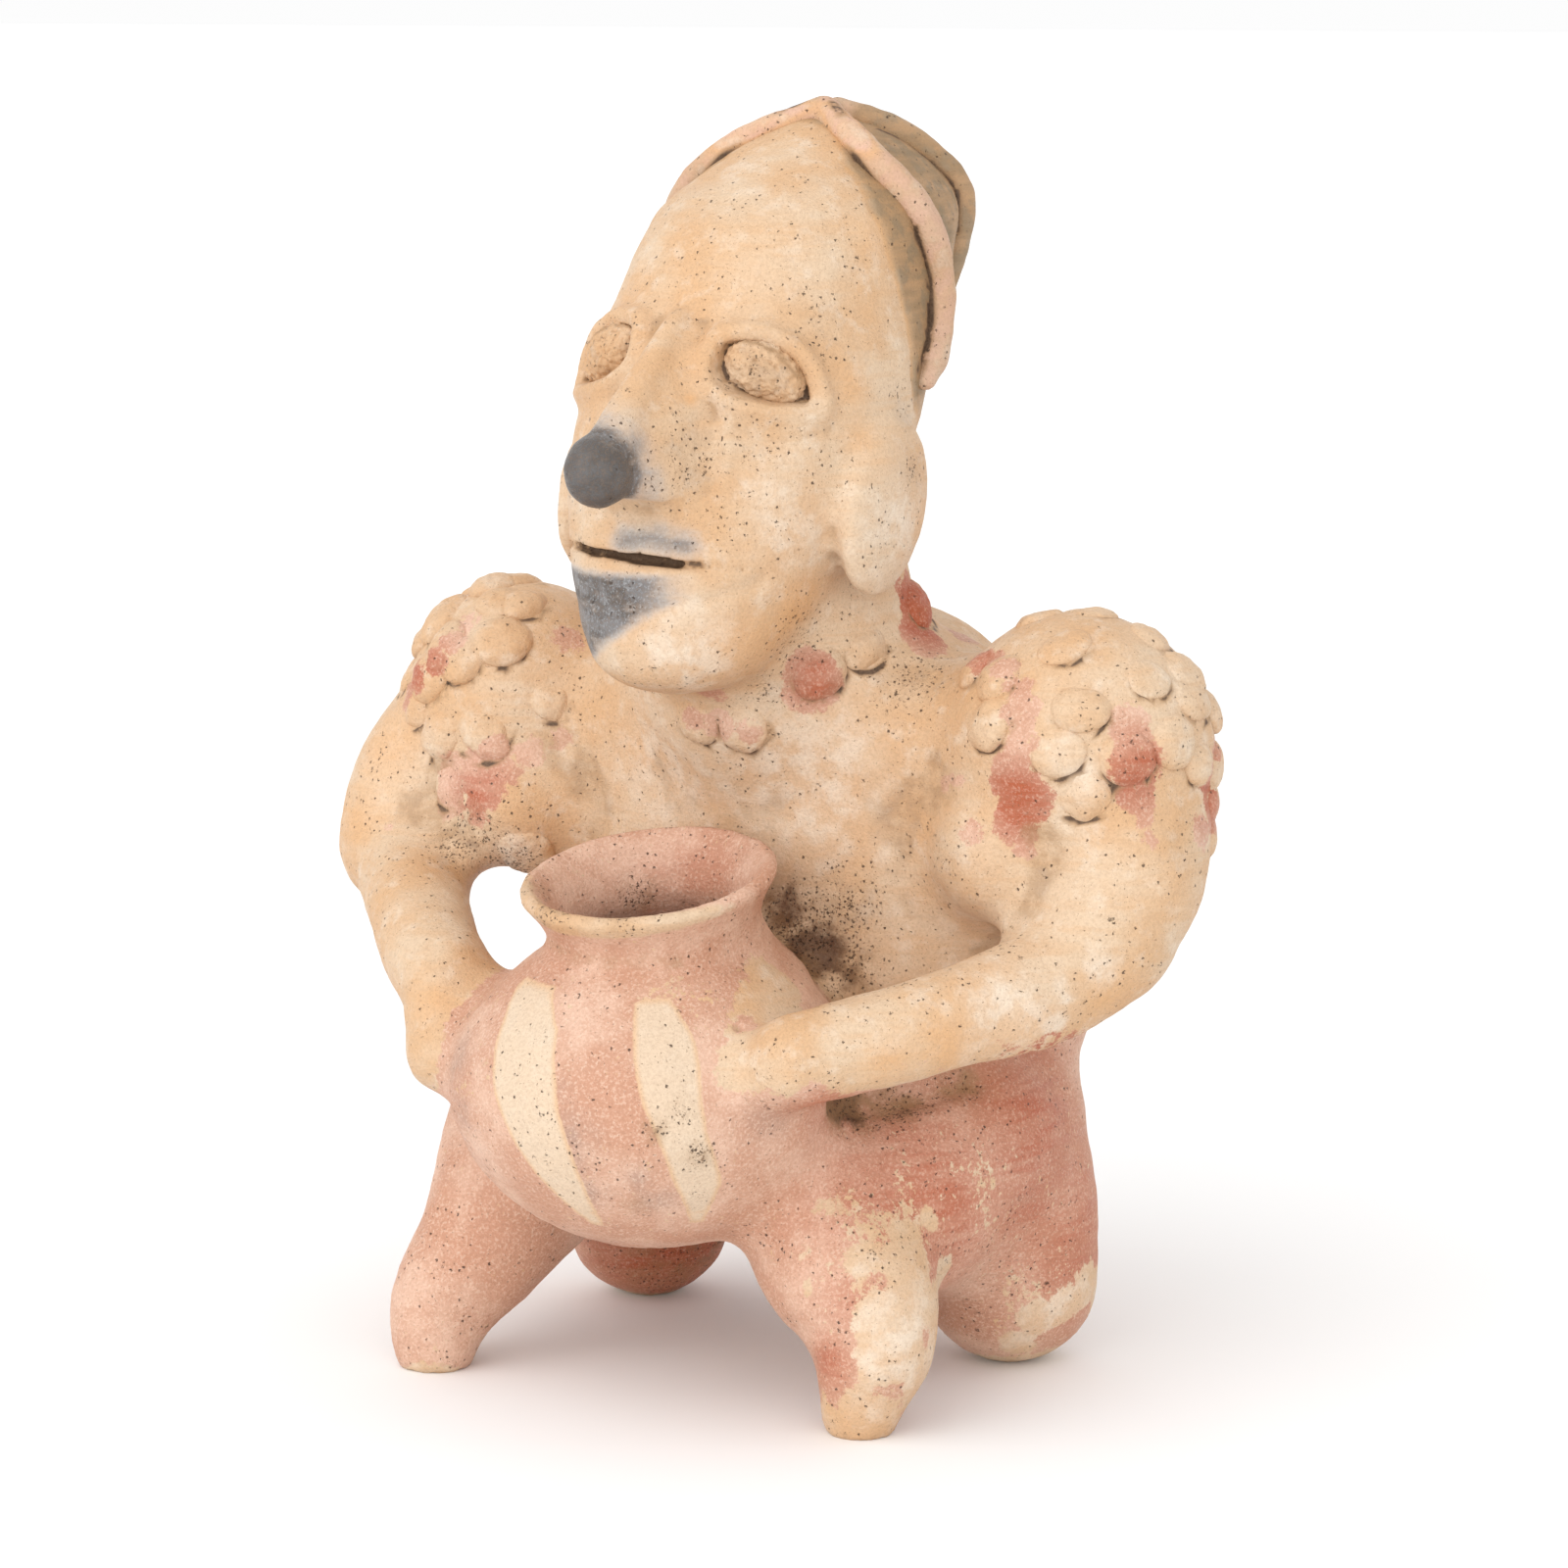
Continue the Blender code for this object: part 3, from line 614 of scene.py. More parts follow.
# Places that a stick or a nail pressed in: line, depth (raised where below 0) and width, in units.
FACE_EDGE = ((71, 299), (63.5, 288), (63, 277), (65, 262), (66, 250), (70, 240))
PRESSED = (
    (on_face((-12, 198), (0, 195.5), (9, 195.5), (19, 198), (27, 202)), 0.7, 2.0),
    (on_face((-10, 202.5), (0, 202), (12, 202.5)), -0.5, 2.2),
    (on_face((15.6, 224), (14.4, 234), (12.8, 244), (9, 255), (6.6, 262)), 0.55, 2.4),
    (on_face((-15.6, 224), (-14.4, 234), (-12.8, 244), (-9, 255), (-6.6, 262)), 0.55, 2.4),
    (on_face((19.4, 224), (19.2, 232), (18, 239)), -0.75, 1.9),
    (on_face((-19.4, 224), (-19.2, 232), (-18, 239)), -0.75, 1.9),
    (on_face((17, 240), (24, 235.5), (31, 234.5), (36, 237)), 0.35, 1.6),
    (on_side(LEFT, *FACE_EDGE), 0.5, 1.6),
    (on_side(RIGHT, *FACE_EDGE), 0.5, 1.6),
    (((36.4, -9, 99.9), (36.9, -9.5, 99.4)), 1.6, 0.9),
    (((0, 24, 263), (0, 8, 249), (0, -5, 240)), -1.2, 2.2),
    (((48, 17, 78), (51, 28, 77), (57, 38, 77), (66, 50, 79)), 3.4, 5),
)


def pressed_in(item):
    """The skin with each pressed line sunk into it or raised."""
    points = drawn_points(item)
    move = np.zeros(len(points), np.float32)
    for line, depth, width in PRESSED:
        gap, _ = distance_to_line(points, line)
        move -= depth * np.exp(-(gap / width) ** 2)
    return moved_to(item, points + surface_normals(item) * move[:, None])


def standing(item):
    """Soles and haunches worn flat at the height they stand on."""
    points = drawn_points(item)
    points[:, 2] = np.maximum(points[:, 2], 0)
    return moved_to(item, points)


def slimmed(item, limit):
    """The same skin in no more triangles than a limit, with its face and the jar's lip kept finest."""
    x, y, z = drawn_points(item).T
    face = (z > FACE_FOOT) & (y < FACE_BACK) & (abs(x) < FACE_HALF_WIDTH)
    lip = (np.hypot(x, y - JAR_MOUTH_CENTRE[1]) < LIP_REACH) & (z > LIP_FOOT) & (z < LIP_TOP) & (y < LIP_BACK)
    coarse = np.flatnonzero(~(face | lip))
    group = item.vertex_groups.new(name="coarse")
    group.add(coarse.tolist(), 1.0, "REPLACE")
    triangles = sum(len(side.vertices) - 2 for side in item.data.polygons)
    step = item.modifiers.new("slim", "DECIMATE")
    step.ratio = min(1.0, limit / triangles)
    step.vertex_group = "coarse"
    step.vertex_group_factor = COARSE_WEIGHT
    item = finished(item)
    item.vertex_groups.clear()
    return item


def figure_skin():
    """The whole figure and its jar in one skin, without pellets, headband and eyeballs."""
    figure = arms_and_head(trunk())
    hand_worked(figure, *BODY_MARKS)
    figure = finished(figure)
    details = [jar_neck(), *nose(), *lids(), *ears()]
    figure = fused("figure", [figure, *details], DETAIL_GRAIN, DETAIL_FILLET, relax=2)
    figure = cut_out(figure, jar_hollow() + mouth_cutter() + eye_sockets())
    skinned(figure, SKIN_GRAIN)
    relaxed(figure, 2)
    hand_worked(figure, *SKIN_MARKS)
    figure = pressed_in(finished(figure))
    return standing(slimmed(figure, SKIN_TRIANGLES))


def pellet_rays(side):
    """Where each pellet of a side is pressed on from: a point inside the clay and the way out of it."""
    rays = []
    for latitude, turn in PELLETS[side]:
        turn, rise = radians(turn), radians(latitude)
        outward = Vector((side * sin(turn) * cos(rise), -cos(turn) * cos(rise), sin(rise)))
        rays.append((Vector(SHOULDERS[side]) * UNIT, outward))
    for turn, height in COLLAR_PELLETS:
        if (turn > 0) == (side == LEFT):
            outward = Vector((sin(radians(turn)), -cos(radians(turn)), 0))
            rays.append((Vector((*COLLAR_AXIS, height)) * UNIT, outward))
    if side == RIGHT:
        rays.append((Vector(ARMPIT_PELLET[0]) * UNIT, Vector(ARMPIT_PELLET[1])))
    return rays


def fed(tree, socket, value):
    """A socket given a value or another node's output."""
    if isinstance(value, bpy.types.NodeSocket):
        tree.links.new(value, socket)
    else:
        socket.default_value = value


def node_makers(tree, clamped=False):
    """Short ways to add nodes to a tree: any node, and the result of a sum, a ramp and a noise."""
    def make(kind, settings=None, **inputs):
        node = tree.nodes.new(kind)
        for name, value in (settings or {}).items():
            setattr(node, name, value)
        for name, value in inputs.items():
            fed(tree, node.inputs[int(name[1:]) if name[0] == "_" else name.replace("_", " ")], value)
        return node

    def maths(operation, *values):
        inputs = {f"_{place}": value for place, value in enumerate(values)}
        return make("ShaderNodeMath", {"operation": operation, "use_clamp": clamped}, **inputs).outputs[0]

    def ramp(value, low, high, start=0.0, end=1.0, curve="SMOOTHSTEP"):
        limits = {"_1": low, "_2": high, "_3": start, "_4": end}
        return make("ShaderNodeMapRange", {"interpolation_type": curve}, Value=value, **limits).outputs[0]

    def noise(place, scale, detail, roughness=0.5):
        node = make("ShaderNodeTexNoise", Vector=place, Scale=scale, Detail=detail, Roughness=roughness)
        return node.outputs[0]

    return make, maths, ramp, noise


def pellet_tree(clay):
    """Geometry nodes that press a flattened ball of clay on every point, each a little different."""
    tree = bpy.data.node_groups.new("pressed_pellets", "GeometryNodeTree")
    tree.interface.new_socket("Points", in_out="INPUT", socket_type="NodeSocketGeometry")
    for label, value in (("Width", 1.0), ("Thickness", 1.0), ("Unevenness", 0.0), ("Lump span", 1.0)):
        tree.interface.new_socket(label, in_out="INPUT", socket_type="NodeSocketFloat").default_value = value
    tree.interface.new_socket("Seed", in_out="INPUT", socket_type="NodeSocketInt").default_value = 3
    tree.interface.new_socket("Pellets", in_out="OUTPUT", socket_type="NodeSocketGeometry")
    make, maths, _, _ = node_makers(tree)
    given = make("NodeGroupInput").outputs
    half, half_thick = maths("MULTIPLY", given["Width"], 0.5), maths("MULTIPLY", given["Thickness"], 0.5)
    sphere = make("GeometryNodeMeshIcoSphere", Radius=1.0, Subdivisions=PELLET_FINENESS).outputs["Mesh"]
    height = make("ShaderNodeSeparateXYZ", Vector=make("GeometryNodeInputPosition").outputs[0]).outputs["Z"]
    marked = make("GeometryNodeStoreNamedAttribute", {"data_type": "FLOAT"}, Geometry=sphere, Name="rise",
                  Value=height).outputs[0]
    size = make("ShaderNodeCombineXYZ", X=half, Y=half, Z=half_thick).outputs[0]
    disc = make("GeometryNodeTransform", Geometry=marked, Scale=size).outputs[0]
    facing = make("GeometryNodeInputNamedAttribute", {"data_type": "FLOAT_VECTOR"}, Name="facing").outputs[0]
    girth = make("GeometryNodeInputNamedAttribute", {"data_type": "FLOAT"}, Name="girth").outputs[0]
    turn = make("FunctionNodeAlignRotationToVector", {"axis": "Z"}, Vector=facing).outputs[0]
    spin = make("FunctionNodeRandomValue", {"data_type": "FLOAT"}, _2=0.0, _3=2 * pi, Seed=given["Seed"])
    spin = make("ShaderNodeCombineXYZ", Z=spin.outputs[1]).outputs[0]
    spin = make("FunctionNodeEulerToRotation", Euler=spin).outputs[0]
    turn = make("FunctionNodeRotateRotation", {"rotation_space": "LOCAL"}, Rotation=turn, Rotate_By=spin)
    stretch = make("FunctionNodeRandomValue", {"data_type": "FLOAT_VECTOR"}, _0=(0.92, 0.8, 0.75),
                   _1=(1.16, 1.0, 1.15), Seed=given["Seed"]).outputs[0]
    scale = make("ShaderNodeVectorMath", {"operation": "SCALE"}, Vector=stretch, Scale=girth).outputs[0]
    placed = make("GeometryNodeInstanceOnPoints", Points=given["Points"], Instance=disc,
                  Rotation=turn.outputs[0], Scale=scale).outputs[0]
    real = make("GeometryNodeRealizeInstances", Geometry=placed).outputs[0]
    fineness = maths("DIVIDE", 1.0, given["Lump span"])
    lumps = make("ShaderNodeTexNoise", {"noise_dimensions": "3D"}, Scale=fineness, Detail=2.0).outputs[0]
    lift = maths("MULTIPLY", maths("SUBTRACT", lumps, 0.5), given["Unevenness"])
    away = make("ShaderNodeVectorMath", {"operation": "SCALE"},
                Vector=make("GeometryNodeInputNormal").outputs[0], Scale=lift).outputs[0]
    moved = make("GeometryNodeSetPosition", Geometry=real, Offset=away).outputs[0]
    smooth = make("GeometryNodeSetShadeSmooth", Geometry=moved).outputs[0]
    fired = make("GeometryNodeSetMaterial", Geometry=smooth, Material=clay).outputs[0]
    make("NodeGroupOutput", Pellets=fired)
    return tree


def pellets(name, side, skin, clay):
    """Pellets over a shoulder and round the foot of the neck, their lower rims a little proud of the skin."""
    surface = BVHTree.FromObject(skin, bpy.context.evaluated_depsgraph_get())
    sizes = Random(6 + side)
    spots, facings, girths = [], [], []
    for start, outward in pellet_rays(side):
        spot, normal, _, _ = surface.ray_cast(start, outward)
        facing = (normal + PELLET_LEAN * outward).normalized()
        spots.append(spot + facing * PELLET_LIFT * UNIT)
        waver = Vector([sizes.uniform(-PELLET_WAVER, PELLET_WAVER) for _ in range(3)])
        tip = Vector((PELLET_TIP[0] * side, *PELLET_TIP[1:])) + waver
        facings.append((facing + tip).normalized())
        girths.append(sizes.uniform(*PELLET_GIRTHS))
    mesh = bpy.data.meshes.new(name)
    mesh.from_pydata(spots, [], [])
    facing_values = mesh.attributes.new("facing", "FLOAT_VECTOR", "POINT")
    facing_values.data.foreach_set("vector", [number for facing in facings for number in facing])
    mesh.attributes.new("girth", "FLOAT", "POINT").data.foreach_set("value", girths)
    item = new_object(name, mesh)
    step = item.modifiers.new("pressed_pellets", "NODES")
    step.node_group = pellet_tree(clay)
    values = {
        "Width": PELLET_WIDTH * UNIT,
        "Thickness": PELLET_THICKNESS * UNIT,
        "Unevenness": PELLET_LUMPS * UNIT,
        "Lump span": PELLET_LUMP_SPAN * UNIT,
        "Seed": 3 + side,
    }
    for socket in step.node_group.interface.items_tree:
        if socket.in_out == "INPUT" and socket.name in values:
            step[socket.identifier] = values[socket.name]
    return finished(item)


def pellet_rims(item):
    """Middle and radius of every pellet of a finished piece, in the drawing's units."""
    points = drawn_points(item)
    count = 10 * 4 ** (PELLET_FINENESS - 1) + 2
    spots = []
    for first in range(0, len(points), count):
        one = points[first:first + count]
        middle = one.mean(axis=0)
        reach = np.linalg.norm(one - middle, axis=1)
        spots.append((*middle, float(np.percentile(reach, 90))))
    return spots


def headband():
    """Two strands that cross at the crown: one down each temple, one round the back of the cap."""
    thick = BAND_WIDTH / 2
    pieces = []
    for side in (LEFT, RIGHT):
        front, rear = [(0, *CROWN_FRONT, thick)], [(0, *CROWN_REAR, thick)]
        for line, strand in ((front, FRONT_STRAND), (rear, REAR_STRAND)):
            for y, z in strand:
                taper = STRAND_TAPER if (y, z) == strand[-1] else 1
                line.append((side * (side_of_head(y, z) + STRAND_RISE), y, z, thick * taper))
        pieces += roll("front_strand", front) + roll("rear_strand", rear)
    band = fused("headband", pieces, BAND_GRAIN, BAND_FILLET, relax=2)
    hand_worked(band, *BAND_MARKS)
    return finished(band)


def eyeballs():
    """A rough ball of clay that nearly fills each eye, with a ring pressed round its middle."""
    balls = []
    for side in (LEFT, RIGHT):
        centre = Vector(eye_point(side, *EYEBALL_SHIFT, -EYEBALL_DEPTH))
        out = (Vector(eye_point(side, *EYEBALL_SHIFT, 0)) - Vector(SKULL_MIDDLE)).normalized()
        turn = out.to_track_quat("Y", "Z").to_matrix().to_4x4()
        size = Matrix.Diagonal((*(Vector(EYEBALL_RADII) * UNIT), 1))
        shape = bmesh.new()
        bmesh.ops.create_icosphere(shape, subdivisions=6, radius=1)
        for corner in shape.verts:
            from_middle = (corner.co.x ** 2 + corner.co.z ** 2) ** 0.5 * EYEBALL_RADII[0]
            if corner.co.y > 0:
                corner.co.y -= RING_DEPTH * exp(-((from_middle - EYE_RING) / RING_WIDTH) ** 2)
        slant = Matrix.Rotation(-side * radians(EYE_SLANT), 4, "Y")
        place = Matrix.Translation(centre * UNIT) @ turn @ slant @ size
        bmesh.ops.transform(shape, matrix=place, verts=shape.verts)
        balls.append(object_from(shape, "eyeball"))
    item = object_from(gathered(balls), "eyeballs")
    for marks in EYEBALL_MARKS:
        hand_worked(item, *marks)
    return finished(item)


def round_spots(points, spots):
    """How deep each point lies inside the nearest of some round spots of x, y, z and radius, in units."""
    best = np.full(len(points), -30, np.float32)
    for x, y, z, radius in spots:
        best = np.maximum(best, radius - np.linalg.norm(points - (x, y, z), axis=1))
    return best


def soft_spots(points, spots):
    """Strength of soft round spots, stains as well as painted shade and light, of x, y, z, radius and
    strength, from 0 to 1.
    """
    total = np.zeros(len(points), np.float32)
    for x, y, z, radius, strength in spots:
        share = np.clip(1 - np.linalg.norm(points - (x, y, z), axis=1) / radius, 0, 1)
        total = np.maximum(total, strength * share * share * (3 - 2 * share))
    return total


def arm_gap(points, side):
    """Distance outside an arm, from its elbow to its hand."""
    stations = np.array((ELBOWS[side], *FOREARMS[side], PALMS[side]), np.float32)
    gap, place = distance_to_line(points, stations[:, :3])
    radius = np.interp(place, np.linspace(0, 1, len(stations)), stations[:, 3])
    return gap - radius


# Red slip: daubs on the shoulders, neck and far arm, in units, as x, y, z and radius.
SLIP_DAUBS = (
    (64, 58, 180.5, 4), (69, 55, 181, 4), (75, 50, 180, 3.5), (80, 46, 177, 4.5), (82, 45.5, 171.5, 5),
    (83, 44, 165, 4.5), (81, 44, 160, 5), (79.5, 43.5, 155, 6), (83.5, 44, 151, 7.5), (81, 45, 144.5, 6),
    (83, 46.5, 138.5, 3), (69.5, 44, 141, 3), (57.5, 52, 151.5, 2), (63.5, 49, 152.5, 2),
    (60.5, 50.5, 152, 1.5), (106, 55, 168.5, 5.5), (108, 54, 160, 7), (109.5, 53, 152.5, 5.5),
    (111, 54, 147, 3), (112, 54.5, 141, 2), (40, 92.5, 181, 5), (100, 90, 182.5, 4), (115, 80, 145, 5.5),
    (118, 71, 141.5, 4.5), (117, 77, 153.5, 4.5), (116, 84, 160, 3.5), (-57, 60.5, 179, 5),
    (-83.5, 54, 180.5, 3), (-85, 49, 175, 4), (-88, 46, 171, 4), (-95, 49, 166, 4.5),
    (-100.5, 51, 160, 4), (-69.5, 44, 149.5, 4.5), (-66, 45, 144.5, 3.5), (-62, 49.5, 149, 4),
    (-54.5, 53, 153, 3), (-83, 46, 142, 6), (-83.5, 45.5, 136, 6), (-74, 39, 133.5, 5),
    (-71.5, 42.5, 140, 6), (-77, 44.5, 145, 4.5), (-99.5, 40.5, 127, 1.5), (34, 76.5, 191, 8),
    (40.5, 70, 197, 6.5), (39.5, 72, 183, 7.5), (33, 70, 177, 6), (26.5, 40.5, 176.5, 7),
    (28.5, 42.5, 172.5, 6.5), (22.5, 41.5, 171, 4.5), (6, 26.5, 169, 5.5), (4.5, 34.5, 163.5, 4),
    (-2.5, 32, 164.5, 3), (12, 36, 162, 3), (30, 84, 186, 6), (-95, 92, 170, 6), (-60, 108, 168, 5),
    (70, 112, 150, 6), (20, 148, 150, 5), (-98, 88, 150, 5), (96, 96, 165, 4),
)
# The bare clay of each hand on the jar, and the slip that runs in between the near hand's fingers.
HAND_CLAY = {
    LEFT: ((52, -8, 93, 14.5), (42, -4, 98, 10.5), (40, 4, 103, 10.5), (36, 12, 109, 9), (43, -14, 92, 8.5)),
    RIGHT: ((-54, -7, 86, 11.5), (-52, 0, 96, 11), (-50, 2, 99, 8)),
}
HAND_CLAY_TOP = 118
FINGER_SLIP = ((38, -7.5, 101, 3.5), (59, -13, 86, 5), (50, -14, 87, 4))
# Where the slip has worn off: the near thigh, shin and foot, the haunch and the soles.
BARE_PATCHES = (
    (50, 5.5, 54.5, 2), (53, 7, 54.5, 2.5), (49, 0.5, 44.5, 2), (51.5, -1.5, 36.5, 2), (58, -1.5, 38, 1.5),
    (64, 3.5, 43, 5), (68, 16, 47, 5.5), (68.5, 25.5, 49.5, 3), (72.5, 7.5, 36, 8.5), (70, 1, 30.5, 7),
    (71, 13, 42, 7.5), (67, -2.5, 18.5, 5.5), (73, 1, 23.5, 9), (63, 2, 4, 11), (70, 29.5, 35.5, 5),
    (75, 20, 28, 9), (75, 14, 14, 9), (75, 70, 15.5, 5.5), (79.5, 76.5, 18.5, 5.5), (69.5, 69.5, 8.5, 5),
    (81.5, 84, 22, 6), (78, 94, 18, 7), (62, 84, -3, 14), (-58, -3, -5, 9), (-54, 90, -6, 12),
)
SLIP_TONGUES = (
    (60.5, -2, 30, 3.5), (61.5, -3, 18, 4.5), (58, -1.5, 11, 3), (59.5, -1.5, 34, 4), (67.5, 3.5, 39.5, 2.5),
    (55, -0.5, 40.5, 4), (54, 2, 22, 6),
)
SLIP_HEIGHT = 95.5
SLIP_UNDER_HAND = {LEFT: 86.5, RIGHT: 75}
# Radius of the jar at heights, the reach of its slip, and the two bare stripes down its front: height,
# left and right turn.
JAR_HEIGHTS = (48, 62, 80, 92, 98, 105, 112, 118, 126, 142)
JAR_REACH = (36, 47, 51, 48, 44, 38, 32, 31, 33, 33)
JAR_SLIP_FOOT, JAR_SLIP_TOP, JAR_SLIP_BACK = 48, 141, 44
STRIPES = (
    (
        (51, 8, 14), (60, -0.5, 12), (71, -9, 9.5), (80, -15, 6.5), (88, -20, 4.5), (98.5, -26.5, 0),
        (107, -37, -12),
    ),
    (
        (52, 46, 51), (64, 38.5, 53), (76, 33.5, 47.5), (84, 29.5, 46), (94, 26.5, 46.5), (98.5, 26, 46),
        (106, 25, 40),
    ),
)
# Stains as x, y, z, radius and strength: smoke on the nose, orange blushes, packed dirt together with painted
# shade, and chalky film together with painted light.
SMOKE = ((-1.5, -13, 228, 17, 2.6), (-2, -8, 230, 18, 1.0), (0, -3, 238, 11, 0.3), (7, -4, 226, 12, 0.4))
BLUSH = (
    (-108, 46, 146, 20, 0.9), (-112, 46, 130, 18, 0.7), (-52, -8, 95, 10, 0.8), (36, 42, 246, 10, 0.8),
    (39, 42, 235, 9, 0.7), (28, 30, 193, 14, 0.8), (20, 13, 186, 14, 0.9), (42, 44, 229, 8, 0.6),
    (74, -2, 93, 12, 0.8), (84, 8, 96, 12, 0.8), (95, 24, 100, 12, 0.8), (106, 45, 104, 14, 0.6),
    (-22, 33, 268, 14, 0.6), (33, 62, 282, 12, 0.6), (9.5, 13.5, 244.5, 3, 0.9), (10, 30, 276, 30, 0.35),
    (110, 62, 128, 16, 0.6), (-30, 46, 150, 22, 0.3), (44, 60, 214, 10, 0.4),
)
# Packed dirt, and painted shade in recesses: between the jar and the chest, under the near forearm, under the
# far haunch, in the far armpit, under the chin and on the side of the nose.
DIRT_AND_SHADE = (
    (26, 48, 106, 18, 1.0), (30, 49, 118, 16, 0.8), (-76, 42, 126, 16, 1.0), (-66, 46, 118, 12, 1.0),
    (34, 34, 182, 18, 0.7), (20, 34, 172, 14, 0.5), (44, 60, 176, 14, 0.8), (13, 8, 232, 14, 0.6),
    (24, 14, 236, 12, 0.45), (46, 56, 226, 9, 0.7), (41, 58, 238, 9, 0.5), (32, 36, 262, 14, 0.5),
    (33, -27, 83, 5, 0.9), (34.5, -23, 71.5, 5, 1.3), (27, -31, 78, 4.5, 1.3), (19, -27, 57.5, 5, 0.8),
    (-9, -20, 127, 12, 0.8), (8, -20, 128, 12, 0.8), (20, -13, 129, 9, 0.7), (6, 26, 110, 18, 1.0),
    (-24, -4, 128, 9, 0.6), (-14, 26, 121, 7, 1.2), (64, 12, 86, 12, 0.7), (88, 96, 184, 14, 0.4),
    (0, 100, 308, 16, 0.8), (62, 40, 136, 12, 0.35), (74, 30, 40, 12, 0.3), (97, 60, 166, 10, 0.3),
    (-50, 30, 50, 14, 0.4), (0, 48, 160, 22, 0.2), (118, 60, 142, 12, 0.4), (-24, 84, 24, 50, 1.3),
    (49, 22, 79, 15, 2.8), (56, 34, 79, 12, 2.4), (64, 48, 80, 11, 1.3), (15, 49, 117, 13, 1.9),
    (23, 49, 106, 15, 2.4), (31, 51, 100, 9, 1.7), (23, 22, 250, 14, 0.8), (-23, 22, 252, 13, 0.5),
)
# Chalky film, and painted light that lifts the chest, chin, near foot and haunch and the far upper arm out of
# their shade.
CHALK_AND_LIGHT = (
    (98.5, 32.5, 99.5, 5, 0.9), (106, 42, 111.5, 6, 0.8), (94, 23.5, 102, 4, 0.8), (101, 34.5, 105.5, 3, 0.8),
    (97, 47, 158, 12, 0.45), (-66, 40, 130, 6, 0.4), (-92, 44, 148, 12, 0.4), (18.5, 10.5, 229, 5, 0.5),
    (70, 44, 138, 8, 0.4), (3, 10, 178, 10, 0.3), (-65, 44, 122, 10, 1.0), (94, 22, 104, 22, 0.6),
    (72, 4, 24, 26, 0.6), (78, 76, 16, 24, 0.6), (10, 12, 186, 20, 0.8), (30, 24, 214, 18, 0.5),
    (44, 50, 212, 24, 0.6), (20, 46, 150, 34, 0.6), (-20, 46, 150, 30, 0.5), (-100, 60, 140, 26, 0.35),
    (30, 20, 222, 16, 0.4),
)
# The slip itself, in the same terms: where it is greyed, rubbed through, or kept its full brick red.
HAZE = (
    (8, -38, 70, 7, 0.9), (10, -34, 60, 8, 1.0), (4, -37, 86, 6, 0.6), (22, -30, 66, 6, 0.7),
    (-36, -26, 88, 12, 0.9), (-30, -28, 76, 9, 0.7), (44, -10, 80, 12, 0.6), (24, -25, 60, 8, 0.8),
    (78, 60, 56, 20, 0.4), (83, 44, 150, 14, 0.8), (28, 41, 175, 12, 0.8), (107, 54, 155, 10, 0.6),
    (-76, 43, 138, 12, 0.6), (9, -38, 76, 10, 0.8),
)
WEAR = (
    (70, 16, 52, 22, 1.0), (62, 8, 56, 18, 0.8), (78, 40, 56, 18, 0.6), (74, 66, 22, 20, 0.7),
    (60, 2, 40, 18, 0.8), (50, -14, 60, 14, 0.5), (-20, -34, 84, 20, 0.3), (20, -14, 104, 18, 0.5),
    (83, 40, 72, 20, 0.4),
)
BRICK = (
    (104, 60, 74, 60, 1.7), (92, 36, 86, 30, 1.5), (60, -8, 80, 14, 1.2), (96, 84, 36, 50, 1.1),
    (82, 44, 150, 18, 1.3), (82, 60, 42, 34, 0.8), (0, 130, 70, 60, 0.9), (-90, 90, 70, 50, 1.0),
    (36, 76, 190, 20, 1.7), (66, 30, 52, 48, 0.95), (0, 28, 120, 26, 0.5), (12, -36, 52, 12, 0.4),
    (-30, 84, 26, 60, 1.7), (60, 8, 76, 20, 1.3), (-74, 42, 138, 16, 1.0), (28, 40, 175, 14, 1.2),
    (58, 0, 20, 12, 1.0), (108, 54, 158, 16, 1.2), (62, 4, 34, 16, 0.8), (114, 78, 150, 18, 1.2),
    (-94, 48, 168, 18, 1.0), (6, 26, 168, 10, 0.8), (66, 58, 180, 10, 1.0),
)
# Worn stretch of the jar's lip: how far inside its edge, over which turns in degrees, and how wide.
LIP_INSET, LIP_TURNS, LIP_WEAR = 1.5, range(175, 368, 8), 3.4
# Smoke on the chin: its foot as x and height, the rise of its lower edge, its top, sides and back.
CHIN_FOOT, CHIN_RISE, CHIN_TOP, CHIN_SIDES, CHIN_BACK = (-14.4, 182.2), 0.62, 204.5, (-29, 17), 17
# Smoke over the mouth, as a line of x and height and its reach.
MOUTH_SMEAR, SMEAR_REACH = ((-4, 211), (4, 212.4), (13, 210.6)), 7
# Where the cap starts behind the face, at heights, and the heights above which cap and strands are stained.
CAP_HEIGHTS, CAP_STARTS = (236, 246, 260, 277, 288, 299, 312), (71, 65.5, 66, 63, 62.8, 71.2, 86)
CAP_FOOT, STRAND_FOOT = 234, 244
SPOT_LAYERS = {"blush": BLUSH, "dirt": DIRT_AND_SHADE, "chalk": CHALK_AND_LIGHT, "haze": HAZE, "wear": WEAR, "brick": BRICK}


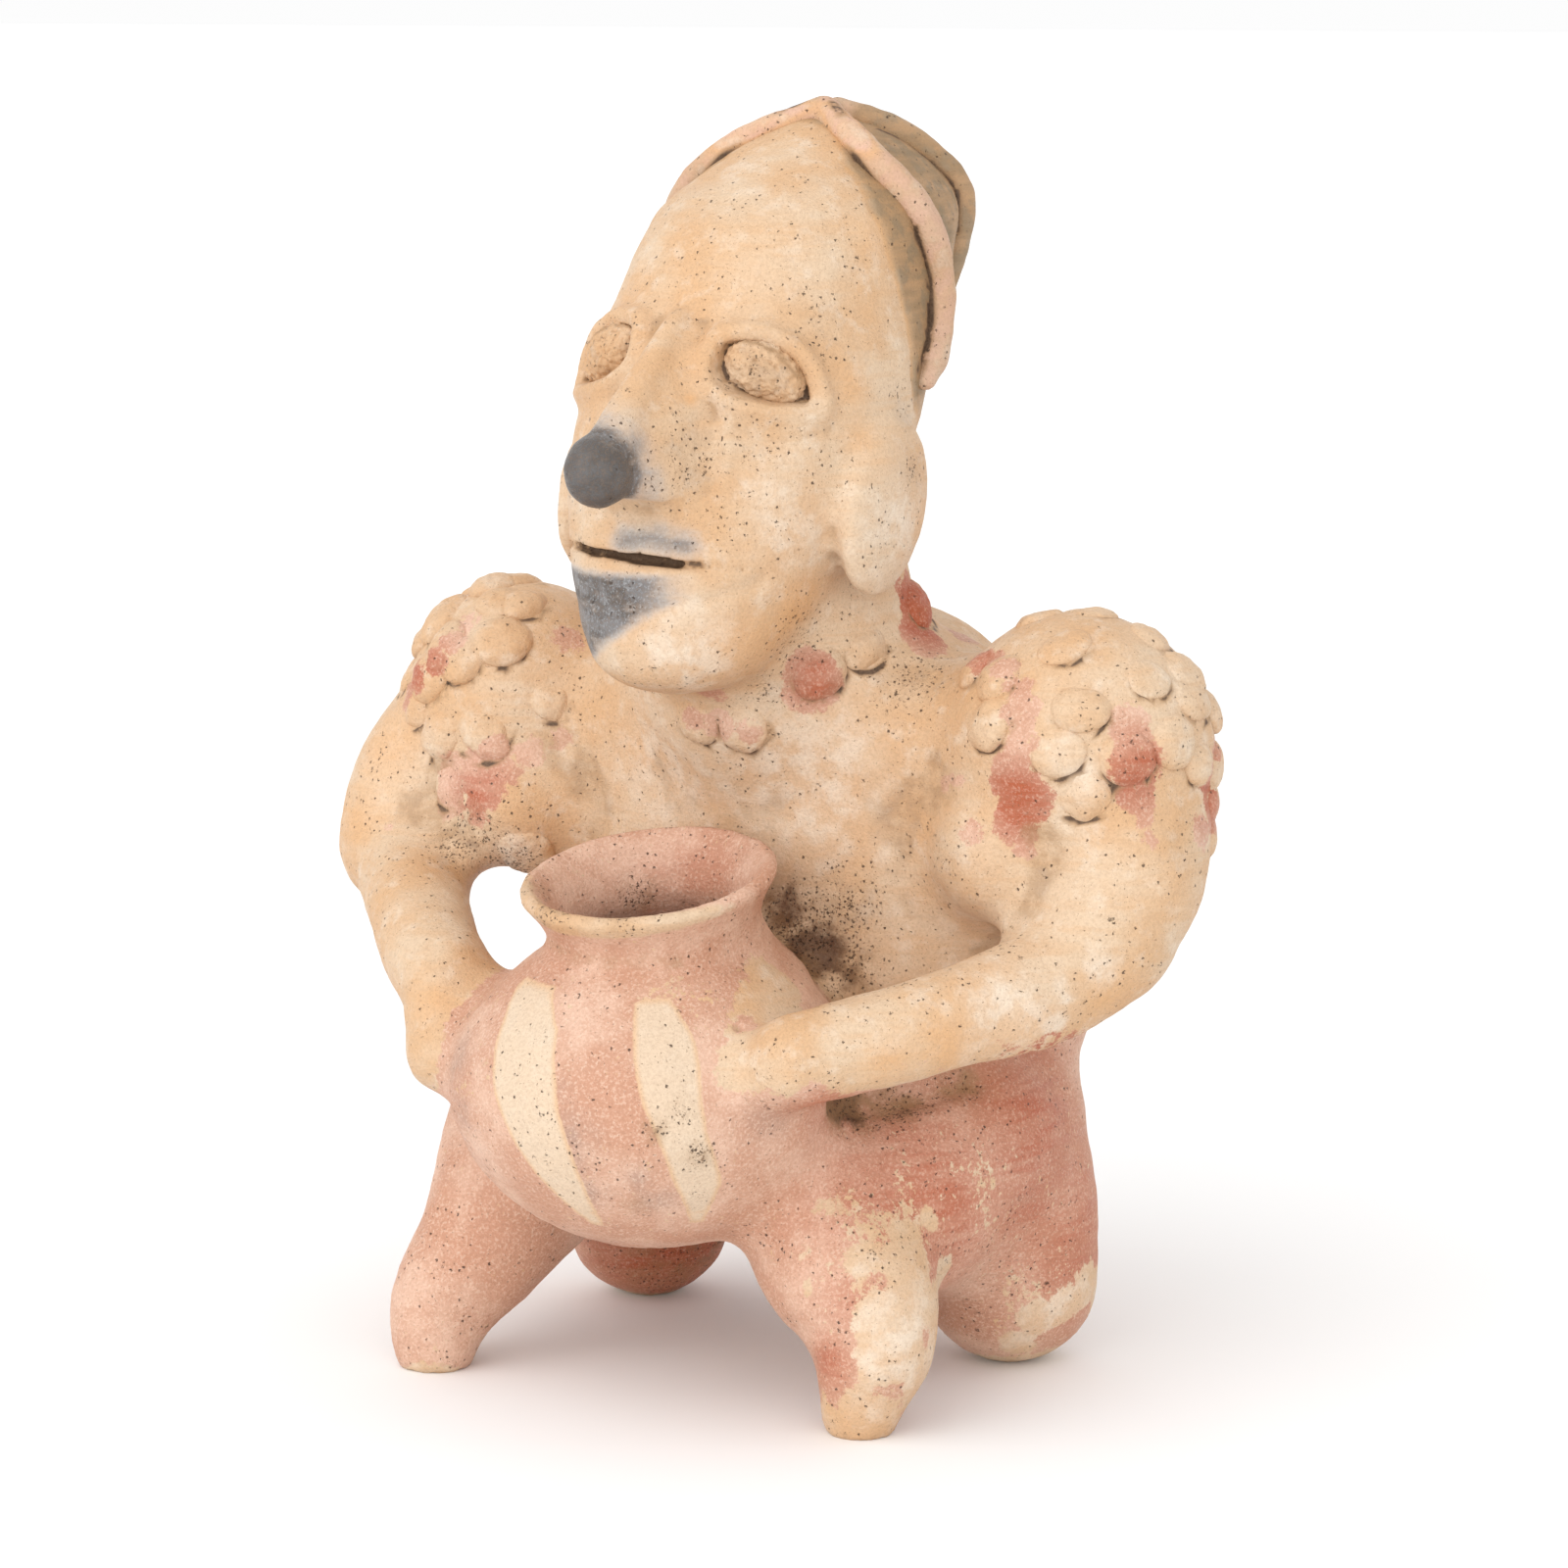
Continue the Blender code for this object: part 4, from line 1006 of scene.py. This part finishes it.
def slip_edge(points):
    """Signed distance into the painted red slip, in units."""
    x, y, z = points.T
    wave = 1.2 * np.sin(x / 7) + 0.8 * np.sin((y + x) / 4.1)
    arms = np.minimum(arm_gap(points, LEFT), arm_gap(points, RIGHT)) - 1
    body = np.minimum(SLIP_HEIGHT + wave - z, arms)
    under = np.where(x > 0, SLIP_UNDER_HAND[LEFT], SLIP_UNDER_HAND[RIGHT]) - z
    body = np.maximum(body, np.minimum(under, SLIP_HEIGHT - z))
    reach = np.interp(z, JAR_HEIGHTS, JAR_REACH) + 2 - np.hypot(x - JAR_CENTRE[0], y - JAR_CENTRE[1])
    jar = np.minimum.reduce([reach, z - JAR_SLIP_FOOT, JAR_SLIP_TOP - z, JAR_SLIP_BACK - y])
    slip = np.maximum(body, jar)
    for side in (LEFT, RIGHT):
        bare = np.minimum(round_spots(points, HAND_CLAY[side]), z - SLIP_UNDER_HAND[side])
        slip = np.minimum(slip, np.where(z < HAND_CLAY_TOP, -bare, slip))
    slip = np.maximum(slip, round_spots(points, FINGER_SLIP))
    slip = np.minimum(slip, -round_spots(points, BARE_PATCHES))
    slip = np.maximum(slip, round_spots(points, SLIP_TONGUES))
    return np.maximum(slip, round_spots(points, SLIP_DAUBS))


def stripe_edge(points):
    """Signed distance into the jar's bare stripes, in units."""
    x, y, z = points.T
    best = np.full(len(points), -30.0)
    reach = np.hypot(x - JAR_CENTRE[0], y - JAR_CENTRE[1])
    turn = np.degrees(np.arctan2(x - JAR_CENTRE[0], JAR_CENTRE[1] - y))
    for rows in STRIPES:
        heights, left, right = zip(*rows)
        from_left = np.radians(turn - np.interp(z, heights, left)) * reach
        to_right = np.radians(np.interp(z, heights, right) - turn) * reach
        ends = np.minimum(z - heights[0], heights[-1] - z)
        best = np.maximum(best, np.minimum(np.minimum(from_left, to_right), ends))
    outside = reach - np.interp(z, JAR_HEIGHTS, JAR_REACH) + 6
    return np.where(outside > 0, best, -30)


def worn_lip(points):
    """Signed distance into the worn front of the jar's lip, in units."""
    ring = []
    lean = Euler((radians(JAR_TILT), 0, 0)).to_matrix()
    edge = JAR_MOUTH / 2 - LIP_INSET
    for turn in LIP_TURNS:
        turn = radians(turn)
        ring.append(Vector(JAR_MOUTH_CENTRE) + lean @ Vector((edge * cos(turn), edge * sin(turn), 0)))
    gap, place = distance_to_line(points, ring)
    return LIP_WEAR * np.sin(pi * np.clip(place * 1.1 + 0.02, 0, 1)) ** 0.6 - gap


def mouth_depth(points):
    """How far inside the slit of the mouth each point lies, from 0 to 1, which darkens the slit as painted
    shade.
    """
    x, y, z = points.T
    near = (abs(z - MOUTH_HEIGHT + MOUTH_TILT * x) < MOUTH_SLIT * 0.75) & (y < 30)
    near &= abs(x - MOUTH_MIDDLE) < MOUTH_LENGTH / 2
    depth = np.zeros(len(points), np.float32)
    for place in np.flatnonzero(near):
        depth[place] = min(max((y[place] - front_of_head(x[place], z[place]) - 0.2) / 1.6, 0), 0.8)
    return depth


def chin_smoke(points):
    """Strength of the dark wedge on the chin, with its straight edge down to the jaw and a wide soft side."""
    x, y, z = points.T
    above = (z - (CHIN_FOOT[1] + CHIN_RISE * (x - CHIN_FOOT[0]))) / 7 + 0.35
    below_mouth = (CHIN_TOP - z) / 4
    sides = np.minimum((x - CHIN_SIDES[0]) / 4, (CHIN_SIDES[1] - x) / 26)
    on_chin = (CHIN_BACK - y) / 4
    return np.clip(np.minimum.reduce([above, below_mouth, sides * 1.15, on_chin]), 0, 0.85)


def lip_smoke(points):
    """Strength of the grey smear over the middle of the mouth."""
    gap, _ = distance_to_line(points, on_face(*MOUTH_SMEAR))
    return np.clip(1 - gap / SMEAR_REACH, 0, 1) ** 1.5 * 0.6


def cap_zone(points):
    """How far behind the face's edge each point of the cap lies, from 0 to 1."""
    _, y, z = points.T
    return np.clip((y - np.interp(z, CAP_HEIGHTS, CAP_STARTS)) / 3, 0, 1) * np.clip((z - CAP_FOOT) / 8, 0, 1)


def strand_edges():
    """Lines along the front edge of every strand of the headband, where it was pressed on."""
    lines = []
    for crown, strand in ((CROWN_FRONT, FRONT_STRAND), (CROWN_REAR, REAR_STRAND)):
        places = []
        for (y, z), (next_y, next_z) in zip((crown, *strand), (*strand, strand[-1])):
            along = Vector((next_y - y, next_z - z))
            if along.length > 0:
                ahead = Vector((along.y, -along.x)).normalized() * (BAND_WIDTH / 2 - 0.2)
            places.append((y + ahead.x, z + ahead.y))
        for side in (LEFT, RIGHT):
            lines.append([(side * side_of_head(y, z), y, z) for y, z in places])
    return lines


def strand_crack(points):
    """Strength of the dark, crumbly crack along the front of each strand of the headband."""
    best = np.zeros(len(points), np.float32)
    for line in strand_edges():
        gap, _ = distance_to_line(points, line)
        best = np.maximum(best, np.clip(1.15 - gap / 2.4, 0, 1))
    return best * (points[:, 2] > STRAND_FOOT)


def eye_depth(points):
    """How far inside an eye's opening each point lies, in the face's own plane, in units."""
    best = np.full(len(points), -30.0)
    for side in (LEFT, RIGHT):
        middle, height = EYE_CENTRES[side]
        slant = radians(EYE_SLANT)
        out, rise = side * points[:, 0] - middle, points[:, 2] - height
        along, up = out * cos(slant) - rise * sin(slant), out * sin(slant) + rise * cos(slant)
        gap, inside = np.full(len(points), 99.0), np.ones(len(points), bool)
        edge = eye_edge(0, 0.95)
        for (x, z), (next_x, next_z) in zip(edge, edge[1:] + edge[:1]):
            length = ((next_x - x) ** 2 + (next_z - z) ** 2) ** 0.5
            outside = ((along - x) * (next_z - z) - (up - z) * (next_x - x)) / length
            share = np.clip(((along - x) * (next_x - x) + (up - z) * (next_z - z)) / length ** 2, 0, 1)
            gap = np.minimum(gap, np.hypot(along - x - share * (next_x - x), up - z - share * (next_z - z)))
            inside &= outside < 0.3
        reach = np.where(inside, gap, -gap)
        best = np.maximum(best, np.where(points[:, 1] < 45, reach, -30))
    return best


def rim_cracks_and_shadow(points, spots):
    """Strength of the broken dark line round pellets of x, y, z and radius: a crack all round, and painted
    shadow that makes it strongest below them.
    """
    best = np.zeros(len(points), np.float32)
    for x, y, z, radius in spots:
        away = points - (x, y, z)
        gap = np.linalg.norm(away, axis=1)
        across, _, rise = (away / np.maximum(gap, 0.1)[:, None]).T
        # Painted shadow: the line grows stronger below each pellet and towards one side.
        below = np.clip(0.45 - rise * 0.8 + across * 0.3, 0.1, 1)
        best = np.maximum(best, np.clip(1.1 - abs(gap - radius) / 1.5, 0, 1) * below)
    return best


def hollowness(item, rounds=10, full=0.5):
    """How hollow the surface is at each vertex, from 0 on flats and ridges to 1 in creases, for the shade
    painted in them.
    """
    mesh = item.data
    ends = np.empty(len(mesh.edges) * 2, np.int32)
    mesh.edges.foreach_get("vertices", ends)
    first, second = ends[0::2], ends[1::2]
    points = drawn_points(item)
    count = np.bincount(ends, minlength=len(points)).astype(np.float32)
    smooth = points.copy()
    for _ in range(rounds):
        total = np.empty_like(smooth)
        for axis in range(3):
            total[:, axis] = (np.bincount(first, smooth[second, axis], len(points))
                              + np.bincount(second, smooth[first, axis], len(points)))
        smooth = total / np.maximum(count, 1)[:, None]
    lift = ((smooth - points) * surface_normals(item)).sum(axis=1)
    return np.clip(lift / full, 0, 1)


def painted(item, rose=0.0, cracks=()):
    """The piece with its paint, stains, wear, and painted shade and light kept as values on its vertices."""
    points = drawn_points(item)
    in_eye = eye_depth(points)
    # The gap between each eyeball and its lids is painted dark as shade.
    if item.name == "eyeballs":
        eye_gap = np.clip(0.62 - abs(in_eye - 0.1) / 2.2, 0, 1)
    else:
        eye_gap = np.clip(in_eye + 0.2, 0, 1)
    if rose:
        gaps = [distance_to_line(points, line)[0] for line in strand_edges()]
        to_front, to_rear = np.minimum(*gaps[:2]), np.minimum(*gaps[2:])
        rose = rose * np.clip(0.6 + (to_rear - to_front) / 5, 0.15, 1)
    smoke = [np.clip(soft_spots(points, SMOKE), 0, 1), chin_smoke(points), lip_smoke(points)]
    # Dark lines: cracks along the strands and round the pellets, and painted shade under the pellets, round
    # the eyeballs and in the mouth's slit.
    cracks_and_recess_shade = [strand_crack(points), rim_cracks_and_shadow(points, cracks), eye_gap, mouth_depth(points)]
    paint = {name: soft_spots(points, spots) for name, spots in SPOT_LAYERS.items()}
    paint.update({
        "slip": slip_edge(points),
        "stripe": stripe_edge(points),
        "lip": worn_lip(points),
        "smoke": np.maximum.reduce(smoke),
        "rose": np.zeros(len(points)) + rose,
        "cap": cap_zone(points),
        "crease": hollowness(item),
        "crack": np.maximum.reduce(cracks_and_recess_shade),
    })
    for name, values in paint.items():
        layer = item.data.attributes.new(name, "FLOAT", "POINT")
        layer.data.foreach_set("value", np.asarray(values, np.float32))


def settled(item):
    """The piece moved from the drawing to its place in the frame, and shaded smooth."""
    item.data.transform(Matrix.Translation(-MIDDLE * UNIT))
    item.data.shade_smooth()


def shader_group(name, inputs, outputs):
    """Empty group with number sockets: its tree, its inputs, the place on the piece and ways to fill it."""
    tree = bpy.data.node_groups.new(name, "ShaderNodeTree")
    for label, value in inputs.items():
        tree.interface.new_socket(label, in_out="INPUT", socket_type="NodeSocketFloat").default_value = value
    for label in outputs:
        tree.interface.new_socket(label, in_out="OUTPUT", socket_type="NodeSocketFloat")
    makers = node_makers(tree)
    make = makers[0]
    return tree, make("NodeGroupInput").outputs, make("ShaderNodeTexCoord").outputs["Object"], makers


def grain_group():
    """Fired surface: cloudy tone, mottling, sand, burnishing strokes, open pits and their height."""
    tree, given, place, (make, maths, ramp, noise) = shader_group(
        "clay_grain", {"Pit share": 0.3}, ("Cloud", "Mottle", "Sand", "Strokes", "Pits", "Specks", "Height"))
    cloud = noise(place, 38.0, 3.0, 0.55)
    mottle = noise(place, 170.0, 4.0, 0.6)
    sand = noise(place, 1300.0, 3.0, 0.7)
    along = make("ShaderNodeMapping", Vector=place, Rotation=(0.3, 0.1, 0.5), Scale=(0.3, 0.3, 2.2))
    strokes = noise(along.outputs[0], 170.0, 3.0, 0.6)
    cluster = ramp(noise(place, 52.0, 3.0, 0.6), 0.40, 0.66, 0.15, 2.3, "LINEAR")
    share = maths("MULTIPLY", given["Pit share"], cluster)
    limit = ramp(share, 0.0, 1.0, 0.68, 0.52, "LINEAR")
    specks = ramp(maths("SUBTRACT", noise(place, 1700.0, 2.0), limit), 0.0, 0.05)

    def pit_layer(scale, low, high):
        """Small ragged pits, one to a cell, most of them left out, more where the share is high."""
        warp = make("ShaderNodeTexNoise", Vector=place, Scale=scale * 2.4, Detail=2.0).outputs["Color"]
        warp = make("ShaderNodeVectorMath", {"operation": "SCALE"}, Vector=warp, Scale=1.2 / scale).outputs[0]
        moved = make("ShaderNodeVectorMath", {"operation": "ADD"}, _0=place, _1=warp).outputs[0]
        cells = make("ShaderNodeTexVoronoi", Vector=moved, Scale=scale).outputs
        chance = make("ShaderNodeSeparateColor", Color=cells["Color"]).outputs[0]
        hole = ramp(cells["Distance"], low, high, 1.0, 0.0)
        return maths("MULTIPLY", hole, maths("LESS_THAN", chance, share))

    pits = maths("MAXIMUM", pit_layer(1000.0, 0.14, 0.38), pit_layer(300.0, 0.0, 0.2))
    height = maths("MULTIPLY_ADD", pits, -1.8, maths("MULTIPLY_ADD", mottle, 0.7, sand))
    make("NodeGroupOutput", Cloud=cloud, Mottle=mottle, Sand=sand, Strokes=strokes, Pits=pits, Specks=specks,
         Height=height)
    return tree


def ragged_edge_group():
    """Mask of a painted patch from a signed distance, with a worn, ragged rim."""
    tree, given, place, (make, maths, ramp, noise) = shader_group(
        "ragged_edge", {"Distance": 0.0, "Raggedness": 2.0, "Softness": 0.35}, ("Mask",))
    rough = maths("SUBTRACT", noise(place, 310.0, 6.0, 0.75), 0.5)
    pushed = maths("MULTIPLY_ADD", rough, given["Raggedness"], given["Distance"])
    low = maths("MULTIPLY", given["Softness"], -1.0)
    make("NodeGroupOutput", Mask=ramp(pushed, low, given["Softness"]))
    return tree


def flecks_group():
    """Mask of small flecks rubbed through a coat, more where the share is high."""
    tree, given, place, (make, maths, ramp, noise) = shader_group(
        "rubbed_flecks", {"Share": 0.2}, ("Flecks",))
    both = maths("MULTIPLY_ADD", noise(place, 110.0, 3.0), 0.6, noise(place, 620.0, 4.0, 0.65))
    limit = ramp(given["Share"], 0.0, 1.0, 1.02, 0.74, "LINEAR")
    make("NodeGroupOutput", Flecks=ramp(maths("SUBTRACT", both, limit), 0.0, 0.05))
    return tree


# Colours of the fired surface; the dirt tones and the pit tone also darken painted shade, and the chalk tone
# also paints light on dim parts.
CREAM, PEACH, STRIPE_TONE = (0.68, 0.505, 0.345, 1), (0.64, 0.395, 0.215, 1), (0.72, 0.575, 0.43, 1)
BLUSH_TONE, CHALK_AND_LIGHT_TONE, ROSE_TONE = (0.68, 0.37, 0.16, 1), (0.82, 0.72, 0.60, 1), (0.68, 0.42, 0.32, 1)
SLIP_PALE, SLIP_MID, SLIP_BRICK = (0.71, 0.455, 0.335, 1), (0.56, 0.285, 0.185, 1), (0.42, 0.085, 0.03, 1)
SLIP_HAZE, SLIP_SAND = (0.40, 0.275, 0.225, 1), (0.74, 0.55, 0.42, 1)
SMOKE_PALE, SMOKE_THIN, SMOKE_DARK = (0.5, 0.49, 0.49, 1), (0.17, 0.175, 0.185, 1), (0.045, 0.044, 0.045, 1)
DIRT_AND_SHADE_TONE, DEEP_SHADE_AND_DIRT, PIT_AND_SHADE_TONE = (0.33, 0.185, 0.085, 1), (0.075, 0.026, 0.009, 1), (0.075, 0.042, 0.024, 1)
CAP_TONE, CAP_DARK = (0.40, 0.23, 0.105, 1), (0.20, 0.145, 0.08, 1)
SAND_TONE, SPECK_TONE = (0.32, 0.2, 0.12, 1), (0.17, 0.095, 0.05, 1)
# How much of the band keeps its rose paint.
BAND_ROSE = 0.75
# How matt the clay is, how clearly it mirrors, and the depth of its grit in metres.
MATTNESS, MIRROR, GRIT_DEPTH = 0.55, 0.35, 0.00036


def fired_clay(groups):
    """Buff clay with all its paint, wear, smoke, pits and dirt, and painted shade and light."""
    material = bpy.data.materials.new("fired_clay")
    material.use_nodes = True
    tree = material.node_tree
    shader = tree.nodes["Principled BSDF"]
    make, maths, ramp, _ = node_makers(tree, clamped=True)

    def kept(label):
        return make("ShaderNodeAttribute", {"attribute_name": label}).outputs["Fac"]

    def mixed(share, under, over):
        node = make("ShaderNodeMix", {"data_type": "RGBA"}, Factor=share)
        fed(tree, node.inputs[6], under)
        fed(tree, node.inputs[7], over)
        return node.outputs[2]

    def placed_group(key, **inputs):
        node = make("ShaderNodeGroup", {"node_tree": groups[key]})
        for label, value in inputs.items():
            fed(tree, node.inputs[label.replace("_", " ")], value)
        return node.outputs

    dirt, cap = kept("dirt"), kept("cap")
    grain = placed_group("grain", Pit_share=ramp(dirt, 0.0, 1.0, 0.05, 0.4, "LINEAR"))
    mottle, strokes, sand = grain["Mottle"], grain["Strokes"], grain["Sand"]

    clay = mixed(ramp(grain["Cloud"], 0.36, 0.66), CREAM, PEACH)
    clay = mixed(maths("MULTIPLY", ramp(strokes, 0.42, 0.68), 0.4), clay, PEACH)
    clay = mixed(maths("MULTIPLY", ramp(mottle, 0.5, 0.72), 0.35), clay, CHALK_AND_LIGHT_TONE)
    clay = mixed(maths("MULTIPLY", kept("blush"), ramp(mottle, 0.3, 0.6, 0.55, 0.85)), clay, BLUSH_TONE)
    clay = mixed(maths("MULTIPLY", kept("rose"), ramp(mottle, 0.36, 0.62, 1.0, 0.3)), clay, ROSE_TONE)

    slip_tone = mixed(ramp(grain["Cloud"], 0.40, 0.64), SLIP_PALE, SLIP_MID)
    slip_tone = mixed(maths("MULTIPLY", ramp(mottle, 0.42, 0.66), 0.5), slip_tone, SLIP_MID)
    hazy = maths("MULTIPLY", kept("haze"), ramp(mottle, 0.35, 0.6, 0.35, 0.85))
    slip_tone = mixed(hazy, slip_tone, SLIP_HAZE)
    slip_tone = mixed(ramp(sand, 0.48, 0.68, 0.0, 0.6), slip_tone, SLIP_SAND)
    brick = maths("MULTIPLY", kept("brick"), ramp(strokes, 0.34, 0.62, 0.95, 0.62))
    slip_tone = mixed(maths("MULTIPLY", brick, ramp(sand, 0.46, 0.66, 1.0, 0.6)), slip_tone, SLIP_BRICK)
    edge = placed_group("edge", Distance=kept("slip"), Raggedness=8.5, Softness=0.35)["Mask"]
    rubbed = placed_group("flecks", Share=ramp(kept("wear"), 0.0, 1.0, 0.12, 1.0, "LINEAR"))["Flecks"]
    coat = maths("MULTIPLY", edge, maths("SUBTRACT", 1.0, rubbed))
    stripe = placed_group("edge", Distance=kept("stripe"), Raggedness=1.4, Softness=0.35)["Mask"]
    lip = placed_group("edge", Distance=kept("lip"), Raggedness=3.0, Softness=0.6)["Mask"]
    coat = maths("MULTIPLY", coat, maths("SUBTRACT", 1.0, maths("MAXIMUM", stripe, lip)))
    clay = mixed(maths("MULTIPLY", stripe, 0.8), clay, STRIPE_TONE)
    warm_rim = maths("MULTIPLY", stripe, ramp(kept("stripe"), 0.0, 1.8, 0.5, 0.0))
    clay = mixed(warm_rim, clay, BLUSH_TONE)
    tone = mixed(coat, clay, slip_tone)

    cap_tone = mixed(ramp(strokes, 0.34, 0.66, 0.0, 0.6), CAP_TONE, CAP_DARK)
    cap_tone = mixed(ramp(mottle, 0.46, 0.62, 0.0, 0.75), cap_tone, CAP_DARK)
    face_edge = maths("MULTIPLY", maths("SUBTRACT", 1.0, cap), ramp(cap, 0.02, 0.4))
    tone = mixed(maths("MULTIPLY", face_edge, 0.9), tone, BLUSH_TONE)
    under_band = maths("SUBTRACT", 0.92, maths("MULTIPLY", kept("rose"), 0.95))
    tone = mixed(maths("MULTIPLY", cap, under_band), tone, cap_tone)
    # Chalky film, with painted light on the dim chest, chin, near foot, haunch and far arm.
    chalk = maths("MULTIPLY", kept("chalk"), maths("SUBTRACT", 1.0, maths("MULTIPLY", coat, 0.85)))
    tone = mixed(maths("MULTIPLY", chalk, ramp(mottle, 0.38, 0.58, 0.35, 1.0)), tone, CHALK_AND_LIGHT_TONE)

    smoke = maths("MULTIPLY", kept("smoke"), ramp(mottle, 0.3, 0.66, 0.75, 1.2))
    smoke = maths("MULTIPLY", smoke, ramp(strokes, 0.3, 0.7, 0.85, 1.15))
    soot = mixed(ramp(mottle, 0.42, 0.60, 0.0, 0.8), SMOKE_DARK, SMOKE_THIN)
    soot = mixed(ramp(sand, 0.5, 0.66, 0.0, 0.4), soot, SMOKE_PALE)
    soot = mixed(ramp(kept("smoke"), 0.86, 1.0, 0.0, 0.75), soot, SMOKE_DARK)
    tone = mixed(ramp(smoke, 0.0, 0.45, 0.0, 0.55), tone, SMOKE_PALE)
    tone = mixed(ramp(smoke, 0.12, 0.85, 0.0, 0.95), tone, soot)

    # Dirt and painted shade: a brown stain, and the deepest painted shade between the jar and the chest and
    # under the near forearm.
    stain_and_shade = maths("MULTIPLY", dirt, ramp(mottle, 0.30, 0.68))
    tone = mixed(maths("MULTIPLY", stain_and_shade, 0.62), tone, DIRT_AND_SHADE_TONE)
    patchy = ramp(mottle, 0.3, 0.7, 0.75, 1.2)
    packed_dirt_and_shade = make("ShaderNodeMath", {"operation": "MULTIPLY"}, _0=dirt, _1=patchy).outputs[0]
    tone = mixed(ramp(packed_dirt_and_shade, 0.85, 1.7, 0.0, 0.92), tone, DEEP_SHADE_AND_DIRT)
    # Painted shade in creases, as deep as the surface is hollow.
    crease_shade = maths("MULTIPLY", ramp(kept("crease"), 0.3, 1.0), ramp(mottle, 0.36, 0.6, 0.2, 0.6))
    tone = mixed(crease_shade, tone, DIRT_AND_SHADE_TONE)
    # Cracks round strands and pellets, and painted shade under the pellets, round the eyeballs and in the
    # mouth's slit.
    crack = maths("MULTIPLY", kept("crack"), ramp(mottle, 0.3, 0.5, 0.5, 1.0))
    tone = mixed(ramp(crack, 0.2, 0.7, 0.0, 0.7), tone, DIRT_AND_SHADE_TONE)
    tone = mixed(ramp(crack, 0.55, 0.85, 0.0, 0.95), tone, PIT_AND_SHADE_TONE)
    tone = mixed(ramp(sand, 0.30, 0.62, 0.26, 0.0), tone, SAND_TONE)
    tone = mixed(maths("MULTIPLY", grain["Specks"], 0.75), tone, SPECK_TONE)
    tone = mixed(maths("MULTIPLY", grain["Pits"], 0.88), tone, PIT_AND_SHADE_TONE)
    tree.links.new(tone, shader.inputs["Base Color"])

    polish = ramp(strokes, 0.3, 0.7, MATTNESS - 0.1, MATTNESS + 0.17)
    polish = maths("SUBTRACT", polish, maths("MULTIPLY", smoke, 0.24))
    tree.links.new(polish, shader.inputs["Roughness"])
    shader.inputs["Specular IOR Level"].default_value = MIRROR
    bump = make("ShaderNodeBump", Strength=0.9, Distance=GRIT_DEPTH, Height=grain["Height"])
    tree.links.new(bump.outputs[0], shader.inputs["Normal"])
    return material


# The photograph's view: its aim and distance in units, its lens in mm, and its turn and rise in degrees.
VIEW_TARGET, VIEW_DISTANCE, VIEW_LENS = (10.7, 54.2, 146.5), 1200, 111.3
VIEW_AZIMUTH, VIEW_ELEVATION = 31.3, 9.4
# Broad lights: name, the side each comes from, strength and spread in degrees.
LIGHTS = (
    ("window", (-0.30, -0.66, 0.75), 0.6, 60),
    ("screen", (0.55, -0.83, 0.0), 1.2, 80),
    ("fill", (-0.22, -0.96, 0.12), 0.9, 70),
)
PAPER_TONE, SURROUND_STRENGTH, FLOOR_HALF = (0.93, 0.93, 0.93, 1), 0.98, 30.0


def camera():
    """The photograph's view of the figure."""
    azimuth, elevation = radians(VIEW_AZIMUTH), radians(VIEW_ELEVATION)
    back = Vector((sin(azimuth) * cos(elevation), -cos(azimuth) * cos(elevation), sin(elevation)))
    lens = bpy.data.cameras.new("view")
    lens.lens = VIEW_LENS
    lens.sensor_width = 36
    eye = new_object("view", lens)
    eye.location = (Vector(VIEW_TARGET) - MIDDLE + back * VIEW_DISTANCE) * UNIT
    eye.rotation_euler = back.to_track_quat("Z", "Y").to_euler()
    bpy.context.scene.camera = eye


def studio():
    """Pale floor, white surroundings and three broad soft lights."""
    shape = bmesh.new()
    bmesh.ops.create_grid(shape, x_segments=1, y_segments=1, size=FLOOR_HALF)
    floor = object_from(shape, "floor")
    paper = bpy.data.materials.new("white_paper")
    paper.use_nodes = True
    sheet = paper.node_tree.nodes["Principled BSDF"].inputs
    sheet["Base Color"].default_value = PAPER_TONE
    sheet["Roughness"].default_value = 0.95
    sheet["Specular IOR Level"].default_value = 0.1
    floor.data.materials.append(paper)
    world = bpy.data.worlds.new("studio")
    world.use_nodes = True
    sky = world.node_tree.nodes["Background"].inputs
    sky["Color"].default_value = (1, 1, 1, 1)
    sky["Strength"].default_value = SURROUND_STRENGTH
    bpy.context.scene.world = world
    bpy.context.scene.view_settings.view_transform = "Standard"
    for name, side, strength, spread in LIGHTS:
        lamp = bpy.data.lights.new(name, "SUN")
        lamp.energy = strength
        lamp.angle = radians(spread)
        new_object(name, lamp).rotation_euler = Vector(side).to_track_quat("Z", "Y").to_euler()


camera()
studio()
groups = {"grain": grain_group(), "edge": ragged_edge_group(), "flecks": flecks_group()}
clay = fired_clay(groups)
skin = figure_skin()
left_pellets = pellets("left_pellets", LEFT, skin, clay)
right_pellets = pellets("right_pellets", RIGHT, skin, clay)
rims = pellet_rims(left_pellets) + pellet_rims(right_pellets)
band = headband()
balls = eyeballs()
painted(skin, cracks=rims)
painted(band, rose=BAND_ROSE)
for piece in (left_pellets, right_pellets, balls):
    painted(piece)
for piece in (skin, left_pellets, right_pellets, band, balls):
    settled(piece)
    piece.data.materials.clear()
    piece.data.materials.append(clay)
    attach(piece, "root")
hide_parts("hunchback_figure")
